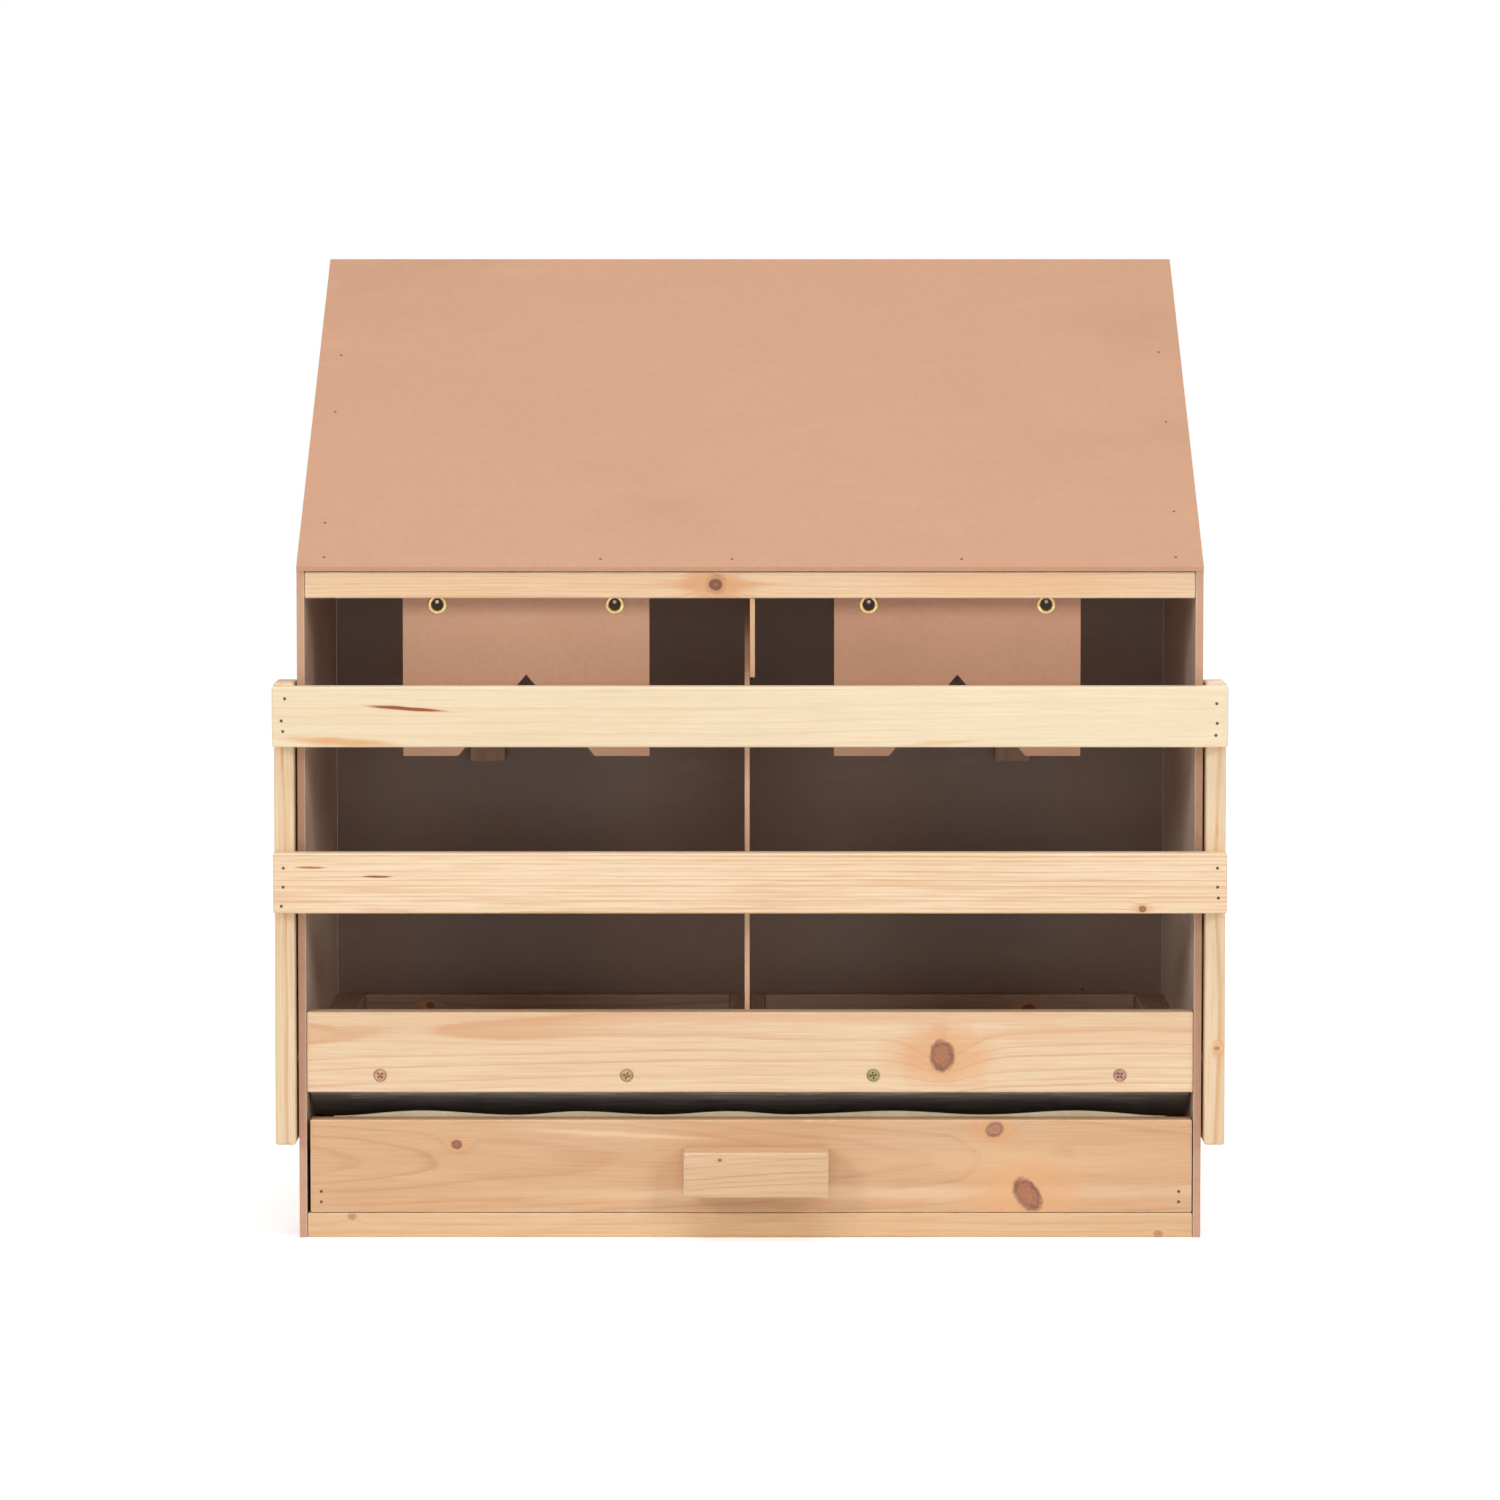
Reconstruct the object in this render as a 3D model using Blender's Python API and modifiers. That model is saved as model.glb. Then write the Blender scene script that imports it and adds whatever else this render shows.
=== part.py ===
"""Two-compartment laying nest box with a pitched roof, hanging entrance flaps, a folding perch and an egg drawer.

Metres, +Z up, the entrances face -Y, X runs across the width. The underside of the box is at Z = 0 and the
depth runs from the drawer handle's face to the roof's rear edge, centred on Y = 0.
"""

import math

import bmesh
import bpy
from mathutils import Matrix, Vector

# ---------------------------------------------------------------- overall sizes
OVERALL_WIDTH = 0.630       # across the perch uprights
OVERALL_DEPTH = 0.400       # drawer handle to roof's rear edge
OVERALL_HEIGHT = 0.650
GAP = 0.0003                # fit between pieces that touch

# ---------------------------------------------------------------- stock thicknesses
SIDE_T = 0.005              # side panels
SHEET_T = 0.0032            # back, dividers, flaps
ROOF_T = 0.0035
PINE_T = 0.018              # planed pine boards and strips
REAR_T = 0.028              # square battens behind the back panel
MAT_T = 0.002
EASE = 0.0008               # eased edges of the pine

# ---------------------------------------------------------------- screws
SCREW_STEPS = 12
KERB_SCREW_Z = 0.1087
KERB_SCREW_XS = (-0.246, -0.082, 0.082, 0.246)
KERB_SCREW_LENGTH = 0.030
PIVOT_SCREW_LENGTH = 0.045

# ---------------------------------------------------------------- perch frame
UPRIGHT_T = 0.0135
UPRIGHT_W = 0.040
UPRIGHT_TOP = 0.371
UPRIGHT_BOTTOM = 0.0635
UPRIGHT_GAP = 0.0015        # room for the washer between panel and upright
PERCH_RAIL_T = 0.015
PERCH_RAIL_H = 0.040
PERCH_RAIL_BOTTOMS = (0.3295, 0.2195)
PIVOT_Z = 0.120
STOP_LENGTH = 0.036
STOP_HEIGHT = 0.020

# ---------------------------------------------------------------- front, from the ground up
HANDLE_DEPTH = 0.0297
HANDLE_WIDTH = 0.096
HANDLE_HEIGHT = 0.030
HANDLE_CENTRE_X = 0.004
HANDLE_BOTTOM = 0.031
BASE_H = 0.0165
DRAWER_FRONT_TOP = 0.079
DRAWER_FRONT_W = 0.587
DRAWER_OFFSET_X = 0.0008
KERB_BOTTOM = 0.0975
KERB_TOP = 0.151
TOP_RAIL_BOTTOM = 0.4265
TOP_RAIL_TOP = 0.4438
EAVE_Z = 0.4443
EAVE_OVERHANG = 0.001
REAR_OVERHANG = 0.004

# ---------------------------------------------------------------- positions worked out from the sizes
BODY_W = OVERALL_WIDTH - 2 * (UPRIGHT_T + UPRIGHT_GAP)
HALF_W = BODY_W / 2
INNER = HALF_W - SIDE_T
FIT = INNER - GAP                                   # half length of pieces between the side panels
FRONT_Y = -OVERALL_DEPTH / 2 + HANDLE_DEPTH + GAP   # front plane of the box
BEHIND_Y = FRONT_Y + PINE_T                         # back faces of kerb, top rail and drawer front
REAR_Y = OVERALL_DEPTH / 2 - REAR_OVERHANG          # rear edges of the side panels
BACK_Y = REAR_Y - REAR_T - GAP - SHEET_T            # inner face of the back panel
EAVE_Y = FRONT_Y - EAVE_OVERHANG
ROOF_RUN = OVERALL_DEPTH / 2 - EAVE_Y
_steep = math.atan2(OVERALL_HEIGHT - EAVE_Z, ROOF_RUN)
SLOPE = math.atan2(OVERALL_HEIGHT - EAVE_Z - ROOF_T * math.cos(_steep), ROOF_RUN)
ROOF_NORMAL = Vector((0, -math.sin(SLOPE), math.cos(SLOPE)))
PIVOT_Y = FRONT_Y + PINE_T / 2
PERCH_FRONT_Y = PIVOT_Y - UPRIGHT_W / 2             # front faces of the uprights

# ---------------------------------------------------------------- nest floor
CLAMP_T = 0.015
CLAMP_BOTTOM = 0.100
CLAMP_TOP = 0.119
NEST_BATTEN_BOTTOM = 0.107
NEST_BATTEN_TOP = 0.126
NEST_REAR_TOP = 0.127
OUTER_BATTEN_W = 0.020
INNER_BATTEN_W = 0.010
MAT_HALF_W = 0.2940
MAT_LIP_Z = 0.0725          # free edges of the mats, over the drawer
MAT_SLIT_Y = -0.085
MAT_SLIT = 0.006

# ---------------------------------------------------------------- dividers
DIVIDER_X = -0.0019
DIVIDER_STEP_Z = 0.374
DIVIDER_LOWER_TOP = 0.376
DIVIDER_OVERLAP_RUN = 0.090

# ---------------------------------------------------------------- entrance flaps
FLAP_W = 0.164
FLAP_BOTTOM = 0.320
FLAP_TOP = 0.431
FLAP_X = {"left": -0.149, "right": 0.138}
NOTCH_W = 0.091
NOTCH_H = 0.0545
FLAP_Y = BEHIND_Y + 0.008
FLAP_AXIS_Z = 0.429
EYELET_DROP = 0.0080        # eyelet centre below the axis
EYELET_SPACING = 0.118
EYELET_HOLE_R = 0.00425
EYELET_BARREL_R = 0.0050
EYELET_R = 0.00635
HOOK_R = 0.0060
HOOK_WIRE_R = 0.00125
HOOK_EMBED = 0.008
HOOK_TIP = 0.006

# ---------------------------------------------------------------- drawer
DRAWER_SIDE_T = 0.012
DRAWER_SIDE_X = 0.2910      # outer faces of the drawer's sides
DRAWER_SIDE_TOP = 0.066
DRAWER_DEPTH = 0.272
LINER_T = 0.006
LINER_WALL_T = 0.003
LINER_CREST_Z = 0.0823
LINER_TROUGH_Z = 0.0798
LINER_WAVES = 5

# ---------------------------------------------------------------- hanging gear at the rear
HANGING_BATTEN_X = 0.1865
HANGING_BATTEN_W = 0.0246
HANGING_BATTEN_BOTTOM = 0.294
HANGING_BATTEN_TOP = 0.598
REAR_BATTEN_TOP = 0.6285
PLATE_W = 0.030
PLATE_H = 0.046
PLATE_T = 0.0015
PLATE_HOLE_R = 0.005
PLATE_HOLE_DROP = 0.015     # hole's centre below the plate's, clear of the batten


# ---------------------------------------------------------------- scene set-up
for old in list(bpy.data.objects):
    bpy.data.objects.remove(old, do_unlink=True)


def make_collection(name):
    collection = bpy.data.collections.new(name)
    bpy.context.scene.collection.children.link(collection)
    return collection


NEST_BOX = make_collection("nest_box")
CUTTERS = make_collection("cutters")


def make_material(name, colour, roughness, metallic=0.0):
    material = bpy.data.materials.new(name)
    material.use_nodes = True
    shader = material.node_tree.nodes["Principled BSDF"]
    shader.inputs["Base Color"].default_value = (*colour, 1.0)
    shader.inputs["Roughness"].default_value = roughness
    shader.inputs["Metallic"].default_value = metallic
    return material


PINE = make_material("pine", (0.79, 0.60, 0.39), 0.55)
PERCH_PINE = make_material("perch_pine", (0.86, 0.72, 0.50), 0.55)
HARDBOARD = make_material("hardboard", (0.55, 0.35, 0.24), 0.60)
BRASS = make_material("brass", (0.78, 0.57, 0.24), 0.30, 1.0)
YELLOW_ZINC = make_material("yellow_zinc", (0.72, 0.55, 0.33), 0.35, 1.0)
STEEL = make_material("bright_steel", (0.62, 0.62, 0.60), 0.35, 1.0)
RUBBER = make_material("black_rubber", (0.028, 0.026, 0.024), 0.80)
LINER = make_material("moulded_liner", (0.55, 0.50, 0.40), 0.90)


# ---------------------------------------------------------------- shape helpers
def make_axis(name, location):
    """Empty on a joint's axis; the pieces that move together hang from it."""
    empty = bpy.data.objects.new(name, None)
    empty.empty_display_size = 0.02
    empty.location = location
    NEST_BOX.objects.link(empty)
    return empty


def add_object(name, mesh, material, origin, parent=None, collection=None):
    """Object whose mesh is already in metres about origin, which is in the row frame."""
    made = bpy.data.objects.new(name, mesh)
    mesh.name = name
    mesh.materials.clear()
    if material is not None:
        mesh.materials.append(material)
    made.location = Vector(origin)
    if parent is not None:
        made.parent = parent
        made.location = Vector(origin) - parent.location
    (collection or NEST_BOX).objects.link(made)
    return made


def ease_edges(made, width, segments=1):
    bevel = made.modifiers.new("eased_edges", "BEVEL")
    bevel.width = width
    bevel.segments = segments
    bevel.limit_method = "ANGLE"
    bevel.angle_limit = math.radians(40)
    return made


def board(name, low, high, material, parent=None, ease=EASE, segments=1, tilt=0.0):
    """Straight piece between two corners; tilt turns it about X, through its centre."""
    low = Vector(low)
    high = Vector(high)
    bm = bmesh.new()
    bmesh.ops.create_cube(bm, size=1.0)
    bmesh.ops.scale(bm, vec=high - low, verts=bm.verts)
    mesh = bpy.data.meshes.new(name)
    bm.to_mesh(mesh)
    bm.free()
    made = add_object(name, mesh, material, (low + high) / 2, parent)
    made.rotation_euler = (tilt, 0, 0)
    if ease:
        ease_edges(made, ease, segments)
    return made


def evaluated_mesh(temporary):
    """Finished mesh of a temporary object, which is removed."""
    NEST_BOX.objects.link(temporary)
    bpy.context.view_layer.update()
    graph = bpy.context.evaluated_depsgraph_get()
    mesh = bpy.data.meshes.new_from_object(temporary.evaluated_get(graph))
    bm = bmesh.new()
    bm.from_mesh(mesh)
    bmesh.ops.remove_doubles(bm, verts=bm.verts, dist=0.00002)
    bmesh.ops.recalc_face_normals(bm, faces=bm.faces)
    bm.to_mesh(mesh)
    bm.free()
    bpy.data.objects.remove(temporary, do_unlink=True)
    return mesh


def plate(name, outline, thickness, centre, turn, material, parent=None, ease=0.0):
    """Flat piece cut to an outline of (across, up) points about centre."""
    curve = bpy.data.curves.new(name, "CURVE")
    curve.dimensions = "2D"
    curve.fill_mode = "BOTH"
    curve.extrude = thickness / 2
    spline = curve.splines.new("POLY")
    spline.points.add(len(outline) - 1)
    for point, (across, up) in zip(spline.points, outline):
        point.co = (across, up, 0, 1)
    spline.use_cyclic_u = True
    mesh = evaluated_mesh(bpy.data.objects.new(name, curve))
    mesh.transform(turn)
    made = add_object(name, mesh, material, centre, parent)
    if ease:
        ease_edges(made, ease)
    return made


UPRIGHT_YZ = Matrix.Rotation(math.pi / 2, 4, "Z") @ Matrix.Rotation(math.pi / 2, 4, "X")
UPRIGHT_XZ = Matrix.Rotation(math.pi / 2, 4, "X")


def lathe(profile, steps):
    """Solid of revolution about Z; profile runs down the outer side, top to bottom."""
    bm = bmesh.new()
    verts = [bm.verts.new((radius, 0, height)) for radius, height in profile]
    for one, two in zip(verts, verts[1:]):
        bm.edges.new((one, two))
    if profile[0][0] > 0:
        bm.edges.new((verts[-1], verts[0]))
    mesh = bpy.data.meshes.new("profile")
    bm.to_mesh(mesh)
    bm.free()
    turned = bpy.data.objects.new("profile", mesh)
    screw = turned.modifiers.new("turn", "SCREW")
    screw.steps = steps
    screw.render_steps = steps
    screw.use_merge_vertices = True
    screw.merge_threshold = 0.00002
    return evaluated_mesh(turned)


def copies(name, shape, places, material, origin=(0, 0, 0), parent=None, collection=None):
    """One object holding a separate copy of shape at each (point, direction); the shape points down -Z."""
    bm = bmesh.new()
    for point, direction in places:
        turn = Vector((0, 0, -1)).rotation_difference(Vector(direction)).to_matrix().to_4x4()
        part = shape.copy()
        part.transform(Matrix.Translation(Vector(point) - Vector(origin)) @ turn)
        bm.from_mesh(part)
        bpy.data.meshes.remove(part)
    mesh = bpy.data.meshes.new(name)
    bm.to_mesh(mesh)
    bm.free()
    return add_object(name, mesh, material, origin, parent, collection)


def wire_hook(name, route):
    """Bent wire through the points of route."""
    wire = bpy.data.curves.new(name, "CURVE")
    wire.dimensions = "3D"
    wire.bevel_depth = HOOK_WIRE_R
    wire.bevel_resolution = 2
    wire.use_fill_caps = True
    spline = wire.splines.new("POLY")
    spline.points.add(len(route) - 1)
    for point, place in zip(spline.points, route):
        point.co = (*place, 1)
    return add_object(name, evaluated_mesh(bpy.data.objects.new(name, wire)), STEEL, (0, 0, 0))


def cut(target, cutter):
    difference = target.modifiers.new("bore", "BOOLEAN")
    difference.operation = "DIFFERENCE"
    difference.solver = "EXACT"
    difference.object = cutter


def place_one(name, shape, point, direction, material, parent=None):
    """One copy of shape at point, its -Z turned to direction."""
    origin = parent.location if parent is not None else Vector(point)
    return copies(name, shape, [(point, direction)], material, origin, parent)


def hide_cutter(cutter):
    cutter.hide_render = True
    cutter.display_type = "WIRE"
    return cutter


def countersunk_screws(places, targets, head_r, shank_r, length, parent=None):
    """Screws at {name: (head point, direction)}, flush with the surface, and the holes for them in targets."""
    taper = head_r - shank_r
    profile = [
        (0, 0),
        (head_r, 0),
        (head_r, -0.0003),
        (shank_r, -0.0003 - taper),
        (shank_r, -length + 0.0015),
        (0, -length),
    ]
    hole = [
        (0, 0.004),
        (head_r + GAP, 0.004),
        (head_r + GAP, -0.0005),
        (shank_r + GAP, -0.0007 - taper),
        (shank_r + GAP, -length - GAP),
        (0, -length - GAP),
    ]
    screw = lathe(profile, SCREW_STEPS)
    set_in = {name: (Vector(point) + Vector(way) * 0.0002, way) for name, (point, way) in places.items()}
    for name, (point, way) in set_in.items():
        place_one(name, screw, point, way, YELLOW_ZINC, parent)
    bores = copies(list(places)[0] + "_bores", lathe(hole, SCREW_STEPS), set_in.values(), None, collection=CUTTERS)
    hide_cutter(bores)
    for target in targets:
        cut(target, bores)


def roof_underside(y):
    return EAVE_Z + (y - EAVE_Y) * math.tan(SLOPE)


def under_roof(y):
    return roof_underside(y) - GAP


# ---------------------------------------------------------------- side panels, back and roof
side_outline = [
    (FRONT_Y, 0.0),
    (REAR_Y, 0.0),
    (REAR_Y, under_roof(REAR_Y)),
    (FRONT_Y, under_roof(FRONT_Y)),
]
sides = {}
for side, sign in (("left", -1), ("right", 1)):
    centre_x = sign * (HALF_W - SIDE_T / 2)
    sides[side] = plate("side_panel_" + side, side_outline, SIDE_T, (centre_x, 0, 0), UPRIGHT_YZ, HARDBOARD)

back_top = under_roof(BACK_Y) - GAP
back_panel = board("back_panel", (-FIT, BACK_Y, 0.002), (FIT, BACK_Y + SHEET_T, back_top), HARDBOARD, ease=0)

roof_length = ROOF_RUN / math.cos(SLOPE)
roof_middle = Vector((0, EAVE_Y + ROOF_RUN / 2, roof_underside(EAVE_Y + ROOF_RUN / 2)))
roof_centre = roof_middle + ROOF_NORMAL * ROOF_T / 2
roof_half = Vector((HALF_W, roof_length / 2, ROOF_T / 2))
roof_panel = board("roof_panel", roof_centre - roof_half, roof_centre + roof_half, HARDBOARD, ease=0, tilt=SLOPE)

roof_battens = {}
batten_y0 = BEHIND_Y + 0.001
batten_y1 = BACK_Y - GAP - PINE_T * math.sin(SLOPE) - 0.001
batten_middle = Vector((0, (batten_y0 + batten_y1) / 2, roof_underside((batten_y0 + batten_y1) / 2)))
batten_drop = PINE_T / 2 + GAP
for side, sign in (("left", -1), ("right", 1)):
    centre = batten_middle - ROOF_NORMAL * batten_drop + Vector((sign * (FIT - PINE_T / 2), 0, 0))
    half = Vector((PINE_T / 2, (batten_y1 - batten_y0) / 2 / math.cos(SLOPE), PINE_T / 2))
    roof_battens[side] = board("roof_batten_" + side, centre - half, centre + half, PINE, tilt=SLOPE)

# ---------------------------------------------------------------- front rails, base and rear battens
top_rail = board("top_rail", (-FIT, FRONT_Y, TOP_RAIL_BOTTOM), (FIT, BEHIND_Y, TOP_RAIL_TOP), PINE)
kerb_board = board("kerb_board", (-FIT, FRONT_Y, KERB_BOTTOM), (FIT, BEHIND_Y, KERB_TOP), PINE)
base_front = board("base_front_batten", (-FIT, FRONT_Y, 0), (FIT, BEHIND_Y, BASE_H), PINE)
base_rear = board("base_rear_batten", (-FIT, REAR_Y - REAR_T, 0), (FIT, REAR_Y, REAR_T), PINE)
rear_batten_low = (-FIT, REAR_Y - REAR_T, REAR_BATTEN_TOP - REAR_T)
rear_top = board("rear_top_batten", rear_batten_low, (FIT, REAR_Y, REAR_BATTEN_TOP), PINE)

runners = {}
for side, sign in (("left", -1), ("right", 1)):
    inner_x = sign * (FIT - OUTER_BATTEN_W)
    outer_x = sign * FIT
    low = (min(inner_x, outer_x), BEHIND_Y + GAP, 0)
    high = (max(inner_x, outer_x), BACK_Y - GAP, BASE_H)
    runners[side] = board("drawer_runner_" + side, low, high, PINE)

# ---------------------------------------------------------------- nest floor: clamp strip, battens and mats
clamp_y0 = BEHIND_Y + GAP + MAT_T + GAP
clamp_y1 = clamp_y0 + CLAMP_T
nest_clamp = board("nest_clamp_batten", (-FIT, clamp_y0, CLAMP_BOTTOM), (FIT, clamp_y1, CLAMP_TOP), PINE)

rear_y0 = BACK_Y - GAP - PINE_T
divider_left_x = DIVIDER_X - SHEET_T / 2
divider_right_x = DIVIDER_X + SHEET_T / 2
batten_spans = {
    "nest_batten_outer_left": (-FIT, -FIT + OUTER_BATTEN_W),
    "nest_batten_inner_left": (divider_left_x - GAP - INNER_BATTEN_W, divider_left_x - GAP),
    "nest_batten_inner_right": (divider_right_x + GAP, divider_right_x + GAP + INNER_BATTEN_W),
    "nest_batten_outer_right": (FIT - OUTER_BATTEN_W, FIT),
}
nest_battens = {}
for name, (x0, x1) in batten_spans.items():
    low = (x0, clamp_y1 + GAP, NEST_BATTEN_BOTTOM)
    nest_battens[name] = board(name, low, (x1, BACK_Y - GAP, NEST_BATTEN_TOP), PINE)

rear_spans = {
    "nest_rear_batten_left": (-FIT + OUTER_BATTEN_W + GAP, divider_left_x - 2 * GAP - INNER_BATTEN_W),
    "nest_rear_batten_right": (divider_right_x + 2 * GAP + INNER_BATTEN_W, FIT - OUTER_BATTEN_W - GAP),
}
for name, (x0, x1) in rear_spans.items():
    board(name, (x0, rear_y0, NEST_BATTEN_BOTTOM), (x1, BACK_Y - GAP, NEST_REAR_TOP), PINE)


def hanging_path(start, drop, end, flat):
    """Points of a sheet held along its start edge that droops towards its free edge at end.

    drop is the length held upright; flat is the length held level.
    """
    points = []
    if drop:
        points.append(Vector((start.x, start.y + drop)))
    points.append(start)
    heading = 1 if end.x > start.x else -1
    first = start + Vector((heading * flat, 0))
    if flat:
        points.append(first)
    turn = Vector((first.x + heading * 0.004, first.y - 0.0035)) if drop else first
    if drop:
        points.append(turn)
    steps = 6
    for step in range(1, steps + 1):
        along = step / steps
        x = turn.x + (end.x - turn.x) * along
        y = turn.y + (end.y - turn.y) * (1.25 * along - 0.25 * along * along)
        points.append(Vector((x, y)))
    return points


def nest_mat(name, path):
    """Rubber sheet right across the nest, following a path of (y, z) points in its mid-plane."""
    bm = bmesh.new()
    bmesh.ops.create_grid(bm, x_segments=2, y_segments=len(path) - 1, size=1.0)
    for vert in bm.verts:
        row = round((vert.co.y + 1) / 2 * (len(path) - 1))
        vert.co = Vector((vert.co.x * MAT_HALF_W, path[row].x, path[row].y))
    mesh = bpy.data.meshes.new(name)
    bm.to_mesh(mesh)
    bm.free()
    made = add_object(name, mesh, RUBBER, (0, 0, 0))
    solid = made.modifiers.new("thickness", "SOLIDIFY")
    solid.thickness = MAT_T
    solid.offset = 0
    solid.use_even_offset = True
    return made


mat_hold_y = BEHIND_Y + GAP + MAT_T / 2
front_path = hanging_path(
    Vector((mat_hold_y, CLAMP_BOTTOM - 0.003)),
    0.018,
    Vector((MAT_SLIT_Y - MAT_SLIT / 2, MAT_LIP_Z)),
    0.0,
)
mat_front = nest_mat("nest_mat_front", front_path)
rear_path = hanging_path(
    Vector((BACK_Y - 0.002, NEST_BATTEN_BOTTOM - GAP - MAT_T / 2)),
    0.0,
    Vector((MAT_SLIT_Y + MAT_SLIT / 2, MAT_LIP_Z)),
    0.022,
)
mat_rear = nest_mat("nest_mat_rear", rear_path)

# ---------------------------------------------------------------- dividers
divider_back_y = BACK_Y - GAP
rise = math.tan(SLOPE)
lower_outline = [
    (clamp_y1 + GAP, CLAMP_BOTTOM + GAP),
    (divider_back_y, CLAMP_BOTTOM + 0.0075),
    (divider_back_y, DIVIDER_LOWER_TOP + (divider_back_y - BEHIND_Y) * rise),
    (BEHIND_Y + GAP, DIVIDER_LOWER_TOP),
    (BEHIND_Y + GAP, CLAMP_TOP + GAP),
    (clamp_y1 + GAP, CLAMP_TOP + GAP),
]
plate("divider_lower", lower_outline, SHEET_T, (DIVIDER_X, 0, 0), UPRIGHT_YZ, HARDBOARD)

upper_front_y = FRONT_Y + 0.002
overlap_y = upper_front_y + DIVIDER_OVERLAP_RUN
upper_outline = [
    (upper_front_y, DIVIDER_STEP_Z),
    (overlap_y, DIVIDER_STEP_Z),
    (divider_back_y, DIVIDER_STEP_Z + (divider_back_y - overlap_y) * rise),
    (divider_back_y, under_roof(divider_back_y) - GAP),
    (BEHIND_Y + GAP, under_roof(BEHIND_Y + GAP) - GAP),
    (BEHIND_Y + GAP, TOP_RAIL_BOTTOM - GAP),
    (upper_front_y, TOP_RAIL_BOTTOM - GAP),
]
upper_x = DIVIDER_X + SHEET_T + GAP
plate("divider_upper", upper_outline, SHEET_T, (upper_x, 0, 0), UPRIGHT_YZ, HARDBOARD)

# ---------------------------------------------------------------- strips and plates for hanging the box
for side, sign in (("left", -1), ("right", 1)):
    centre_x = sign * HANGING_BATTEN_X
    low = (centre_x - HANGING_BATTEN_W / 2, BACK_Y - GAP - PINE_T, HANGING_BATTEN_BOTTOM)
    high = (centre_x + HANGING_BATTEN_W / 2, BACK_Y - GAP, HANGING_BATTEN_TOP)
    board("hanging_batten_" + side, low, high, PINE)

plate_z = REAR_BATTEN_TOP - REAR_T / 2 - 0.006
hanger_plates = {}
for side, sign in (("left", -1), ("right", 1)):
    outline = [
        (-PLATE_W / 2, -PLATE_H / 2),
        (PLATE_W / 2, -PLATE_H / 2),
        (PLATE_W / 2, PLATE_H / 4),
        (PLATE_W / 4, PLATE_H / 2),
        (-PLATE_W / 4, PLATE_H / 2),
        (-PLATE_W / 2, PLATE_H / 4),
    ]
    centre = Vector((sign * HANGING_BATTEN_X, REAR_Y + GAP + PLATE_T / 2, plate_z))
    hanger_plates[side] = plate("hanger_plate_" + side, outline, PLATE_T, centre, UPRIGHT_XZ, STEEL)
    hole_place = [(centre - Vector((0, PLATE_T, PLATE_HOLE_DROP)), (0, 1, 0))]
    keyhole = copies(
        "hanger_hole_" + side,
        lathe([(0, 0.003), (PLATE_HOLE_R, 0.003), (PLATE_HOLE_R, -0.005), (0, -0.005)], 12),
        hole_place,
        None,
        collection=CUTTERS,
    )
    hide_cutter(keyhole)
    cut(hanger_plates[side], keyhole)

# ---------------------------------------------------------------- entrance flaps on wire hooks
hook_arc = [math.radians(90 - 22.5 * step) for step in range(9)]
for side, centre_x in FLAP_X.items():
    axis = make_axis("flap_axis_" + side, (centre_x, FLAP_Y, FLAP_AXIS_Z))
    outline = [
        (-FLAP_W / 2, FLAP_BOTTOM - FLAP_AXIS_Z),
        (-NOTCH_W / 2, FLAP_BOTTOM - FLAP_AXIS_Z),
        (0, FLAP_BOTTOM + NOTCH_H - FLAP_AXIS_Z),
        (NOTCH_W / 2, FLAP_BOTTOM - FLAP_AXIS_Z),
        (FLAP_W / 2, FLAP_BOTTOM - FLAP_AXIS_Z),
        (FLAP_W / 2, FLAP_TOP - FLAP_AXIS_Z),
        (-FLAP_W / 2, FLAP_TOP - FLAP_AXIS_Z),
    ]
    flap = plate("flap_board_" + side, outline, SHEET_T, axis.location, UPRIGHT_XZ, HARDBOARD, parent=axis)
    eyelet_places = []
    for sign in (-1, 1):
        spot = axis.location + Vector((sign * EYELET_SPACING / 2, 0, -EYELET_DROP))
        eyelet_places.append((spot, (0, 1, 0)))
    seat = SHEET_T / 2 + GAP
    rim = seat + 0.0005
    eyelet_profile = [
        (EYELET_HOLE_R, rim),
        (EYELET_R - 0.0004, rim),
        (EYELET_R, seat),
        (EYELET_BARREL_R, seat),
        (EYELET_BARREL_R, -seat),
        (EYELET_R, -seat),
        (EYELET_R - 0.0004, -rim),
        (EYELET_HOLE_R, -rim),
    ]
    ring = lathe(eyelet_profile, 16)
    for end, (spot, way) in zip(("outer", "inner") if side == "left" else ("inner", "outer"), eyelet_places):
        place_one("flap_eyelet_" + side + "_" + end, ring, spot, way, BRASS, axis)
    bore_r = EYELET_BARREL_R + GAP
    bore = lathe([(0, 0.004), (bore_r, 0.004), (bore_r, -0.004), (0, -0.004)], 16)
    eyelet_bores = copies("flap_eyelet_bores_" + side, bore, eyelet_places, None, collection=CUTTERS)
    hide_cutter(eyelet_bores)
    cut(flap, eyelet_bores)

    hook_places = []
    for end, sign in zip(("outer", "inner") if side == "left" else ("inner", "outer"), (-1, 1)):
        x = centre_x + sign * EYELET_SPACING / 2
        top = FLAP_AXIS_Z + HOOK_R
        low = FLAP_AXIS_Z - HOOK_R
        route = [(x, BEHIND_Y - HOOK_EMBED, top)]
        for angle in hook_arc:
            arc_y = FLAP_Y + HOOK_R * math.cos(angle)
            route.append((x, arc_y, FLAP_AXIS_Z + HOOK_R * math.sin(angle)))
        route.append((x, FLAP_Y - HOOK_TIP, low))
        wire_hook("flap_hook_" + side + "_" + end, route)
        hook_places.append(((x, BEHIND_Y, top), (0, -1, 0)))
    bore_r = HOOK_WIRE_R + GAP
    depth = HOOK_EMBED + GAP
    bore = lathe([(0, 0.003), (bore_r, 0.003), (bore_r, -depth), (0, -depth)], 8)
    hook_bores = copies("hook_bores_" + side, bore, hook_places, None, collection=CUTTERS)
    hide_cutter(hook_bores)
    cut(top_rail, hook_bores)

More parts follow.
